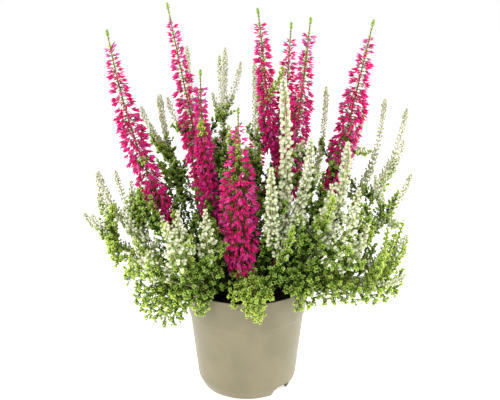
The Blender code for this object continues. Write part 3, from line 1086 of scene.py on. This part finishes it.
def lumps(x, y):
    """Uneven heights of the peat, from about -1 to 1."""
    rng = np.random.default_rng(7)
    total = np.zeros_like(x)
    for octave in range(5):
        wave = 260 * 1.9 ** octave
        for _ in range(3):
            turn, phase = rng.uniform(0, math.tau, 2)
            total += np.sin((x * math.cos(turn) + y * math.sin(turn)) * wave + phase) / 1.6 ** octave
    return total / 6


def peat_height(x, y):
    """Height of the peat's top: level in the middle, falling a little to the wall."""
    radius = np.hypot(x, y) / INNER_RADIUS
    return PEAT_TOP - 0.6 * MM - PEAT_DROP * radius ** 3 + 1.1 * MM * lumps(x, y)


def make_peat(settings):
    """The root ball, with an uneven crumbly top."""
    inset = WALL + PEAT_CLEARANCE
    edge_height = PEAT_TOP - PEAT_DROP
    edge = band_radius(edge_height) - inset
    outline = [
        (0, PEAT_BOTTOM),
        (wall_radius(PEAT_BOTTOM) - inset, PEAT_BOTTOM),
        (wall_radius(BAND_FOOT) - inset, BAND_FOOT),
        (band_radius(BAND_BOTTOM) - inset, BAND_BOTTOM + PEAT_CLEARANCE),
        *[(edge * (1 - ring / PEAT_RINGS), edge_height) for ring in range(PEAT_RINGS + 1)],
    ]
    peat = lathed("peat", outline, 120)
    for vert in peat.data.vertices:
        if vert.co.z > edge_height - 0.1 * MM:
            vert.co.z = float(peat_height(np.array(vert.co.x), np.array(vert.co.y)))
    peat.data.materials.append(peat_material(settings))
    return placed(peat, "peat", "peat_root_ball")


def make_crumbs(count=700):
    """Loose crumbs and chips that lie on the root ball."""
    out = Gathering("peat_crumbs")
    rng = out.rng
    radius = (INNER_RADIUS - 4 * MM) * np.sqrt(rng.uniform(0, 1, count))
    turn = rng.uniform(0, math.tau, count)
    x, y = radius * np.cos(turn), radius * np.sin(turn)
    at = np.stack([x, y, peat_height(x, y) - 0.3 * MM], -1)
    forward = unit(rng.normal(0, 1, (count, 3)) * np.array([1, 1, 0.7]))
    across = square_to(forward, unit(rng.normal(0, 1, (count, 3))))
    length = rng.uniform(1.0, 3.6, count) * MM
    width = length * rng.uniform(0.25, 0.8, count)
    out.forms(GRAIN, at, forward, across, length, width, "crumb", rng.uniform(0, 1, count))
    return out.finished("peat")


# Stems, spikes and shoots of the frame


def make_stem(stem):
    """A woody stem with small knots, rooted a little way into the peat."""
    out = Gathering(f"{stem.branch}_woody_stem")
    distance = np.linspace(0, stem.course.length, 40)
    places, _, _ = stem.course.at(distance)
    places[0] -= UP * 1.5 * MM
    share = distance / stem.course.length
    phase = out.rng.uniform(0, math.tau)
    knots = 0.12 * np.sin(distance / (0.8 * MM)) + 0.1 * np.sin(distance / (1.9 * MM) + phase)
    out.tubes(places[None], (blend(1.9, 1.3, share) * MM * (1 + knots))[None], 8, "bark", 0.12)
    return out.finished("woody_stem", stem.node)


# How far pink leaders reach down on their stems, from what share of a spike its florets start, and
# how far its middle bows aside, in millimetres
PINK_LOWERED = {"front_pink": 27 * MM, "tall_pink": 38 * MM, "left_pink": 12 * MM}
PINK_FOOT = {"tall_pink_side_1": 0.08, "middle_pink_side_1": 0.38, "far_right_pink_spike": 0.08}
PINK_BOW = {
    "middle_pink_side_1": (5, 0, 0), "far_right_pink_spike": (-5, 0, 0), "left_pink_spike": (3, 0, 0),
}


def make_pink(shoot):
    """A pink spike with its florets; a side spike has a leafy foot."""
    out = Gathering(f"{shoot.node}_flowers")
    course = lowered(shoot, PINK_LOWERED.get(shoot.branch, 0.0)) if shoot.leads else shoot.course
    course = bowed(course, PINK_BOW.get(shoot.node, (0, 0, 0)))
    first = PINK_FOOT.get(shoot.node, 0.0 if shoot.leads else 0.26) * course.length
    late = 75 * MM if shoot.tip[1] > 80 else 0.0
    if shoot.node == "back_pink_spike":
        course = course.part(0, course.length - 20 * MM, COURSE_POINTS)
    grow_florets(out, course, first, 1.85 * shoot.radius, 0.5, late)
    if not shoot.leads:
        foot = course.part(0.04 * course.length, 0.3 * course.length, 12)
        grow_leafy(out, foot, 0.0, foot.length, 8 * MM, growth().leaf_length, 0.05, 3 * MM)
    return out.finished("pink_flower", shoot.node)


def make_white(shoot):
    """A bud spike; those in front have the larger buds, those behind have the longer leafy foot."""
    out = Gathering(f"{shoot.node}_buds")
    course = shoot.course
    if shoot.node == "front_white_spike":
        course = bowed(lowered(shoot, 36 * MM), (3, 0, 0), (5, -3, 0))
    first = 0.0 if shoot.leads else 0.05 * course.length
    grow_buds(out, course, first, style_of(shoot.tip, shoot.leads, shoot.branch))
    return out.finished("white_bud", shoot.node)


def make_green(shoot):
    """A bright leafy shoot without flowers."""
    out = Gathering(f"{shoot.node}_leaves")
    course = shoot.course
    add_stalk(out, course, 0, course.length - 2 * MM, 0.8 * MM, 0.4 * MM, 0.3)
    grow_leafy(out, course, 0.08 * course.length, course.length, 10 * MM, growth().leaf_length, 0.4)
    return out.finished("green_leaf", shoot.node)


def make_shoots(slot, make):
    for shoot in SHOOTS:
        if shoot.slot == slot:
            make(shoot)


# Sprigs between the shoots of the frame


class Carriers:
    """Places on the stems and shoots where a thinner sprig can fork off."""

    def __init__(self):
        places, headings, self.branches = [], [], []
        for shoot in STEMS + SHOOTS:
            ends = (0.04, 0.55)
            if shoot.node.endswith("_stem"):
                ends = (0.3, 1.0)
            elif shoot.leads:
                ends = (0.0, 0.3)
            found = shoot.course.at(np.linspace(*ends, 12) * shoot.course.length)
            places.append(found[0])
            headings.append(found[1])
            self.branches += [shoot.branch] * len(found[0])
        self.places = np.concatenate(places)
        self.headings = np.concatenate(headings)

    def fork(self, tip):
        """Number of the best place to fork off for this tip: near it, and well below it."""
        way = tip - self.places
        level = np.hypot(way[:, 0], way[:, 1])
        return int(np.argmin(np.linalg.norm(way, axis=1) + 1.5 * np.maximum(0, level - 0.6 * way[:, 2])))

    def nearest(self, place):
        return int(np.argmin(np.linalg.norm(self.places - place, axis=1)))


CARRIERS = Carriers()


def sprig_to(tip):
    """The course of a sprig to this tip, and the branch that carries it."""
    if tip[2] < HANG_BELOW:
        return hanging_sprig_to(tip)
    number = CARRIERS.fork(tip)
    foot = CARRIERS.places[number]
    chord = unit(tip - foot)
    start = mixed(CARRIERS.headings[number], chord, 0.7)
    return Course(bezier(foot, start, tip, mixed(chord, UP, 0.6))), CARRIERS.branches[number]


def hanging_sprig_to(tip):
    """The course of a sprig that leans over the rim and hangs beside the pot."""
    outward = unit(np.array([tip[0], tip[1], 0.0]))
    number = CARRIERS.nearest(outward * 32 * MM + UP * (POT_HEIGHT + 10 * MM))
    over_rim = outward * (RIM_RADIUS + 4 * MM) + UP * (POT_HEIGHT + 9 * MM)
    level = unit(outward - UP * 0.15)
    rise = bezier(CARRIERS.places[number], unit(outward + UP * 0.9), over_rim, level)
    fall = bezier(over_rim, level, tip, unit(outward * 0.35 - UP))
    return Course(np.concatenate([rise, fall[1:]])), CARRIERS.branches[number]


def in_front_hollow(place):
    """True above the front of the rim, where the bush is open and dark."""
    return -62 * MM < place[0] < 22 * MM and place[1] < -22 * MM and place[2] < 168 * MM


def filling_tips(spacing):
    """Tips spread evenly through the bush, no two nearer than the spacing."""
    rng = np.random.default_rng(FILLING_SEED)
    found = np.array([SHOOTS[0].course.points[-1]])
    for _ in range(FILLING_COUNT * 60):
        place = rng.uniform(FILLING_LOWEST, FILLING_HIGHEST)
        if len(found) > FILLING_COUNT:
            break
        if how_far_out(place[None])[0] >= 1 or in_front_hollow(place):
            continue
        if np.linalg.norm(found - place, axis=1).min() > spacing:
            found = np.concatenate([found, place[None]])
    return found[1:]


def add_leafy_sprig(out, course, first, radius, *looks):
    """A thin stalk of this radius, leafy from the first distance to its tip."""
    add_stalk(out, course, 0, course.length - 2 * MM, radius, 0.35 * MM, 0.0, sides=4)
    grow_leafy(out, course, first, course.length, *looks)


def core_courses():
    """Upright shoots from the peat that fill the heart of the bush."""
    rng = np.random.default_rng(CORE_SEED)
    feet = []
    for _ in range(CORE_TRIES):
        x, y = rng.uniform(*CORE_X), rng.uniform(*CORE_Y)
        if math.hypot(x, y) > CORE_RADIUS or len(feet) >= CORE_COUNT:
            continue
        if all(math.hypot(x - other[0], y - other[1]) > CORE_SPACING for other in feet):
            feet.append((x, y))
    for x, y in feet:
        foot = np.array([x, y, 97]) * MM
        height = rng.uniform(62, 145 - 40 * (y < 0))
        spread = 1.2 + height / 140
        tip = np.array([x * spread, y * spread, 98 + height]) * MM
        leaving = unit(UP + foot * np.array([4, 4, 0]))
        yield Course(bezier(foot, leaving, tip, unit(UP * 2 + unit(tip - foot))))


class BranchPieces:
    """Gathers sprigs of one kind into one piece for every branch that carries some."""

    def __init__(self, kind):
        self.kind = kind
        self.found = {}

    def on(self, branch):
        return self.found.setdefault(branch, Gathering(f"{branch}_{self.kind}"))

    def finish(self, slot):
        for out in self.found.values():
            out.finished(slot)


def make_leafy_sprigs():
    """Leafy sprigs over the rim, through the bush and on the stems."""
    pieces = BranchPieces("leafy_sprigs")
    full = growth().leaf_length
    filling = filling_tips(growth().filling_spacing) / MM
    for tips, tone, reach, pitch, bluntness, size in (*LEAFY_KINDS, (filling, *FILLING_KIND)):
        for tip in np.array(tips) * MM:
            course, branch = sprig_to(tip)
            out = pieces.on(branch)
            leafy = min(0.92 * course.length, out.rng.uniform(60, 95) * MM)
            looks = (reach * MM, full * size, tone + out.rng.uniform(-0.05, 0.08), pitch * MM, bluntness)
            add_leafy_sprig(out, course, course.length - leafy, 0.7 * MM, *looks)
    for course in core_courses():
        out = pieces.on(CARRIERS.branches[CARRIERS.nearest(course.points[0])])
        # The heart's shoots take the lowest tone, as painted shade
        add_leafy_sprig(out, course, 6 * MM, 0.8 * MM, 8 * MM, full * 1.2, 0.0, 2.9 * MM)
    pieces.finish("green_leaf")


def make_bud_sprigs():
    """Thin bud sprigs between the spikes."""
    pieces = BranchPieces("bud_sprigs")
    for tip in np.array(BUD_SPRIGS) * MM:
        course, branch = sprig_to(tip)
        in_front = tip[1] < FRONT_SPRIG_UP_TO_Y * MM
        style = FRONT_SPRIG if in_front else style_of(tip / MM)
        grow_buds(pieces.on(branch), course, 0.1 * course.length, style)
    pieces.finish("white_bud")


# Materials


def node(tree, kind, **settings):
    made = tree.nodes.new(kind)
    for name, value in settings.items():
        setattr(made, name, value)
    return made


def feed(tree, socket, value):
    """Sets a socket to a plain value, or links it to an output."""
    if isinstance(value, bpy.types.NodeSocket):
        tree.links.new(value, socket)
    else:
        socket.default_value = value


def wire(tree, made, **values):
    """Feeds a node's sockets by name, with _ in place of a space, and returns the node."""
    for name, value in values.items():
        feed(tree, made.inputs[name.replace("_", " ")], value)
    return made


def opaque(colour):
    return (*colour, 1.0)


# A mix node has sockets for every type, and these are its share and its two colours
COLOUR_MIX_SOCKETS = (0, 6, 7)
RANGE_SOCKETS = ("Value", "From Min", "From Max", "To Min", "To Max")


def mix_colours(tree, share, first, second, way="MIX"):
    """The output of a node that mixes two colours by a share."""
    made = node(tree, "ShaderNodeMix", data_type="RGBA", blend_type=way)
    for number, value in zip(COLOUR_MIX_SOCKETS, (share, first, second)):
        feed(tree, made.inputs[number], value)
    return made.outputs[2]


def calculated(tree, operation, first, second):
    """The output of a node that works on two numbers."""
    made = node(tree, "ShaderNodeMath", operation=operation)
    for socket, value in zip(made.inputs, (first, second)):
        feed(tree, socket, value)
    return made.outputs[0]


def ranged(tree, value, low, high, to_low=0.0, to_high=1.0):
    """The output of a node that maps low to high onto another range, with soft ends."""
    made = node(tree, "ShaderNodeMapRange", interpolation_type="SMOOTHSTEP")
    for name, bound in zip(RANGE_SOCKETS, (value, low, high, to_low, to_high)):
        feed(tree, made.inputs[name], bound)
    return made.outputs["Result"]


def new_group(name, inputs, outputs):
    """A shader node group, its sockets given as names with their kinds: (group, inputs, results)."""
    group = bpy.data.node_groups.new(name, "ShaderNodeTree")
    for way, sockets in (("INPUT", inputs), ("OUTPUT", outputs)):
        for label, kind in sockets.items():
            group.interface.new_socket(label, in_out=way, socket_type=f"NodeSocket{kind}")
    return group, node(group, "NodeGroupInput").outputs, node(group, "NodeGroupOutput")


# How the grain of a small body is drawn out across and along it
GRAIN_STRETCH = (90, 3, 1)


def growth_shade_group():
    """Colour of a small body: from deep to light by its own shade, and another colour at its foot."""
    found = bpy.data.node_groups.get("growth_shade")
    if found:
        return found
    group, given, result = new_group(
        "growth_shade",
        {
            "Place": "Vector", "Column": "Float", "Deep": "Color", "Middle": "Color", "Light": "Color",
            "Foot": "Color", "Foot Reach": "Float", "Speckle": "Float",
        },
        {"Colour": "Color", "Grain": "Float"},
    )
    place = wire(group, node(group, "ShaderNodeSeparateXYZ"), Vector=given["Place"]).outputs
    shade = calculated(group, "MULTIPLY", place["X"], len(SLOTS))
    shade = calculated(group, "SUBTRACT", shade, given["Column"])
    colour = mix_colours(group, ranged(group, shade, 0.0, 0.5), given["Deep"], given["Middle"])
    colour = mix_colours(group, ranged(group, shade, 0.5, 1.0), colour, given["Light"])
    above_foot = ranged(group, place["Y"], 0.0, given["Foot Reach"])
    colour = mix_colours(group, above_foot, given["Foot"], colour)
    stretch = node(group, "ShaderNodeVectorMath", operation="MULTIPLY")
    feed(group, stretch.inputs[0], given["Place"])
    feed(group, stretch.inputs[1], GRAIN_STRETCH)
    noise = wire(group, node(group, "ShaderNodeTexNoise"), Vector=stretch.outputs[0], Scale=1.0, Detail=2.0)
    grain = noise.outputs["Fac"]
    dimmest = calculated(group, "SUBTRACT", 1.0, given["Speckle"])
    dim = ranged(group, grain, 0.3, 0.6, dimmest, 1.0)
    grey = wire(group, node(group, "ShaderNodeCombineColor"), Red=dim, Green=dim, Blue=dim)
    speckled = mix_colours(group, 1.0, colour, grey.outputs[0], "MULTIPLY")
    wire(group, result, Colour=speckled, Grain=grain)
    return group


def mottle_group():
    """Soft blotches and a fine grain, for the pot and the peat."""
    found = bpy.data.node_groups.get("mottle")
    if found:
        return found
    group, given, result = new_group(
        "mottle",
        {
            "Place": "Vector", "Blotch Scale": "Float", "Grain Scale": "Float", "Dark": "Color",
            "Pale": "Color",
        },
        {"Colour": "Color", "Grain": "Float", "Blotch": "Float"},
    )

    def noise(**values):
        made = node(group, "ShaderNodeTexNoise")
        return wire(group, made, Vector=given["Place"], **values).outputs["Fac"]

    blotch = ranged(group, noise(Scale=given["Blotch Scale"], Detail=3.0, Roughness=0.55), 0.35, 0.65)
    grain = noise(Scale=given["Grain Scale"], Detail=2.0)
    colour = mix_colours(group, blotch, given["Dark"], given["Pale"])
    wire(group, result, Colour=colour, Grain=grain, Blotch=blotch)
    return group


def new_material(name):
    made = bpy.data.materials.new(name)
    made.use_nodes = True
    return made, made.node_tree, made.node_tree.nodes["Principled BSDF"]


# Reach of the foot colour, depth of the speckle, and lowest and highest roughness
GROWTH_FINISH = {
    "petal": (0.25, 0.15, 0.60, 0.75),
    "bud": (0.60, 0.12, 0.55, 0.70),
    "leaf": (0.55, 0.25, 0.60, 0.75),
    "bark": (0.05, 0.40, 0.60, 0.85),
    "crumb": (0.30, 0.40, 0.80, 1.00),
}


TRANSLUCENT = ("petal", "bud", "leaf")


def growth_colours(slot):
    """Deep, middle, light and foot colour of a kind of small body."""
    if slot == "crumb":
        pot = bpy.context.scene.heather_pot
        return [opaque(colour) for colour in (pot.peat_dark, pot.peat_pale, pot.peat_pale, pot.peat_dark)]
    return [opaque(getattr(growth(), f"{slot}_{depth}")) for depth in ("deep", "middle", "light", "foot")]


def growth_material(slot):
    found = bpy.data.materials.get(slot)
    if found:
        return found
    made, tree, shader = new_material(slot)
    reach, speckle, smooth, rough = GROWTH_FINISH[slot]
    deep, middle, light, foot = growth_colours(slot)
    shade = wire(
        tree, node(tree, "ShaderNodeGroup", node_tree=growth_shade_group()),
        Place=node(tree, "ShaderNodeUVMap", uv_map=COLOUR_MAP).outputs[0], Column=SLOTS.index(slot),
        Deep=deep, Middle=middle, Light=light, Foot=foot, Foot_Reach=reach, Speckle=speckle,
    ).outputs
    roughness = ranged(tree, shade["Grain"], 0.3, 0.7, smooth, rough)
    wire(tree, shader, Base_Color=shade["Colour"], Roughness=roughness, Specular_IOR_Level=0.08)
    if slot in TRANSLUCENT:
        wire(tree, shader, Subsurface_Weight=0.4, Subsurface_Scale=2 * MM)
        wire(tree, shader, Subsurface_Radius=(1.0, 0.9, 0.5))
    return made


def mottled_material(name, dark, pale, blotch_scale, grain_scale, smooth, rough, relief):
    """A material with blotches of two colours and a grain that stands out by this relief."""
    made, tree, shader = new_material(name)
    mottle = wire(
        tree, node(tree, "ShaderNodeGroup", node_tree=mottle_group()),
        Place=node(tree, "ShaderNodeTexCoord").outputs["Object"],
        Blotch_Scale=blotch_scale, Grain_Scale=grain_scale, Dark=opaque(dark), Pale=opaque(pale),
    ).outputs
    bump = wire(tree, node(tree, "ShaderNodeBump"), Strength=0.5, Distance=relief, Height=mottle["Grain"])
    roughness = ranged(tree, mottle["Blotch"], 0.0, 1.0, smooth, rough)
    wire(tree, shader, Base_Color=mottle["Colour"], Roughness=roughness, Normal=bump.outputs["Normal"])
    return made


def pot_material(settings):
    dark, pale = settings.plastic_dark, settings.plastic_pale
    return mottled_material("pot_plastic", dark, pale, 28.0, 900.0, 0.36, 0.46, 0.06 * MM)


def peat_material(settings):
    dark, pale = settings.peat_dark, settings.peat_pale
    return mottled_material("peat", dark, pale, 350.0, 1600.0, 0.85, 1.0, 0.8 * MM)


# Stage


CAMERA_PLACE = (3 * MM, -800 * MM, 434 * MM)
CAMERA_PITCH = math.radians(17.19)
CAMERA_LENS = 64.0
LIGHT_AIM = Vector((0, 0, 180 * MM))
WHITE = (1.0, 1.0, 1.0, 1.0)

# Radius of the floor, in metres
STAGE_RADIUS = 12

# Place and size of each lamp, in metres
LAMPS = {
    "key": ((-0.7, -1.3, 1.3), 1.0),
    "fill": ((0.9, -1.1, 0.7), 1.2),
    "left_edge": ((-1.3, 0.2, 0.5), 1.0),
    "right_edge": ((1.3, 0.2, 0.5), 1.0),
}


def link_to_scene(name, data):
    obj = bpy.data.objects.new(name, data)
    bpy.context.scene.collection.objects.link(obj)
    return obj


def make_camera():
    data = bpy.data.cameras.new("camera")
    data.lens = CAMERA_LENS
    data.clip_start = 10 * MM
    camera = link_to_scene("camera", data)
    camera.location = CAMERA_PLACE
    camera.rotation_euler.x = math.pi / 2 - CAMERA_PITCH
    bpy.context.scene.camera = camera


def make_lamp(name, place, size, power):
    data = bpy.data.lights.new(name, "AREA")
    data.shape = "DISK"
    data.size = size
    data.energy = power
    lamp = link_to_scene(name, data)
    lamp.location = place
    lamp.rotation_euler = (LIGHT_AIM - Vector(place)).to_track_quat("-Z", "Y").to_euler()


def make_floor(settings):
    bm = bmesh.new()
    bmesh.ops.create_circle(bm, cap_ends=True, radius=STAGE_RADIUS, segments=96)
    floor = object_from("floor", bm)
    bpy.context.scene.collection.objects.link(floor)
    made, tree, shader = new_material("pale_floor")
    wire(tree, shader, Base_Color=opaque(settings.floor_colour), Roughness=0.8)
    wire(tree, shader, Emission_Color=WHITE, Emission_Strength=settings.floor_glow)
    floor.data.materials.append(made)


def make_stage(settings):
    """The studio: white all round as the camera sees it, with a softer light on the plant."""
    scene = bpy.context.scene
    scene.view_settings.view_transform = "Standard"
    scene.world = bpy.data.worlds.new("studio")
    scene.world.use_nodes = True
    tree = scene.world.node_tree
    seen = node(tree, "ShaderNodeLightPath").outputs["Is Camera Ray"]
    dimmed = settings.sky_strength * settings.sky_light
    strength = ranged(tree, seen, 0.0, 1.0, dimmed, settings.sky_strength)
    wire(tree, tree.nodes["Background"], Color=WHITE, Strength=strength)
    make_floor(settings)
    for name, (place, size) in LAMPS.items():
        make_lamp(name, place, size, getattr(settings, f"{name}_power"))
    make_camera()


# Operators and panel


class HEATHER_OT_pot(Operator):
    """Make the nursery pot with its rim band, foot and drainage notches"""
    bl_idname = "heather.pot"
    bl_label = "Pot"

    def execute(self, context):
        make_pot(context.scene.heather_pot)
        return {"FINISHED"}


class HEATHER_OT_peat(Operator):
    """Make the root ball and the crumbs that lie on it"""
    bl_idname = "heather.peat"
    bl_label = "Peat"

    def execute(self, context):
        make_peat(context.scene.heather_pot)
        make_crumbs()
        return {"FINISHED"}


class HEATHER_OT_stems(Operator):
    """Make the woody stems"""
    bl_idname = "heather.stems"
    bl_label = "Woody stems"

    def execute(self, context):
        for stem in STEMS:
            make_stem(stem)
        return {"FINISHED"}


class HEATHER_OT_pink_spikes(Operator):
    """Make the pink flower spikes"""
    bl_idname = "heather.pink_spikes"
    bl_label = "Pink spikes"

    def execute(self, context):
        make_shoots("pink_flower", make_pink)
        return {"FINISHED"}


class HEATHER_OT_bud_spikes(Operator):
    """Make the cream bud spikes"""
    bl_idname = "heather.bud_spikes"
    bl_label = "Bud spikes"

    def execute(self, context):
        make_shoots("white_bud", make_white)
        return {"FINISHED"}


class HEATHER_OT_green_shoots(Operator):
    """Make the green shoots without flowers"""
    bl_idname = "heather.green_shoots"
    bl_label = "Green shoots"

    def execute(self, context):
        make_shoots("green_leaf", make_green)
        return {"FINISHED"}


class HEATHER_OT_leafy_sprigs(Operator):
    """Make the leafy sprigs that fill the bush and hang over the rim"""
    bl_idname = "heather.leafy_sprigs"
    bl_label = "Leafy sprigs"

    def execute(self, context):
        make_leafy_sprigs()
        return {"FINISHED"}


class HEATHER_OT_bud_sprigs(Operator):
    """Make the thin bud sprigs between the spikes"""
    bl_idname = "heather.bud_sprigs"
    bl_label = "Bud sprigs"

    def execute(self, context):
        make_bud_sprigs()
        return {"FINISHED"}


class HEATHER_OT_stage(Operator):
    """Make the floor, the lamps and the camera"""
    bl_idname = "heather.stage"
    bl_label = "Stage"

    def execute(self, context):
        make_stage(context.scene.heather_stage)
        return {"FINISHED"}


OPERATORS = (
    HEATHER_OT_pot, HEATHER_OT_peat, HEATHER_OT_stems, HEATHER_OT_pink_spikes, HEATHER_OT_bud_spikes,
    HEATHER_OT_green_shoots, HEATHER_OT_leafy_sprigs, HEATHER_OT_bud_sprigs, HEATHER_OT_stage,
)
SETTINGS = {"heather_pot": HeatherPot, "heather_growth": HeatherGrowth, "heather_stage": HeatherStage}


class HEATHER_PT_panel(Panel):
    """Sidebar panel with the settings and a button for each group of pieces"""
    bl_idname = "HEATHER_PT_panel"
    bl_label = "Potted heather"
    bl_space_type = "VIEW_3D"
    bl_region_type = "UI"
    bl_category = "Heather"

    def draw(self, context):
        for name, group in SETTINGS.items():
            box = self.layout.box()
            for setting in group.__annotations__:
                box.prop(getattr(context.scene, name), setting)
        for operator in OPERATORS:
            self.layout.operator(operator.bl_idname)


CLASSES = (*SETTINGS.values(), *OPERATORS, HEATHER_PT_panel)


def register():
    for made in CLASSES:
        bpy.utils.register_class(made)
    for name, group in SETTINGS.items():
        setattr(bpy.types.Scene, name, PointerProperty(type=group))


def unregister():
    for name in SETTINGS:
        delattr(bpy.types.Scene, name)
    for made in reversed(CLASSES):
        bpy.utils.unregister_class(made)


def main():
    register()
    bpy.ops.heather.pot()
    bpy.ops.heather.peat()
    bpy.ops.heather.stems()
    bpy.ops.heather.pink_spikes()
    bpy.ops.heather.bud_spikes()
    bpy.ops.heather.green_shoots()
    bpy.ops.heather.leafy_sprigs()
    bpy.ops.heather.bud_sprigs()
    bpy.ops.heather.stage()


if __name__ == "__main__":
    main()
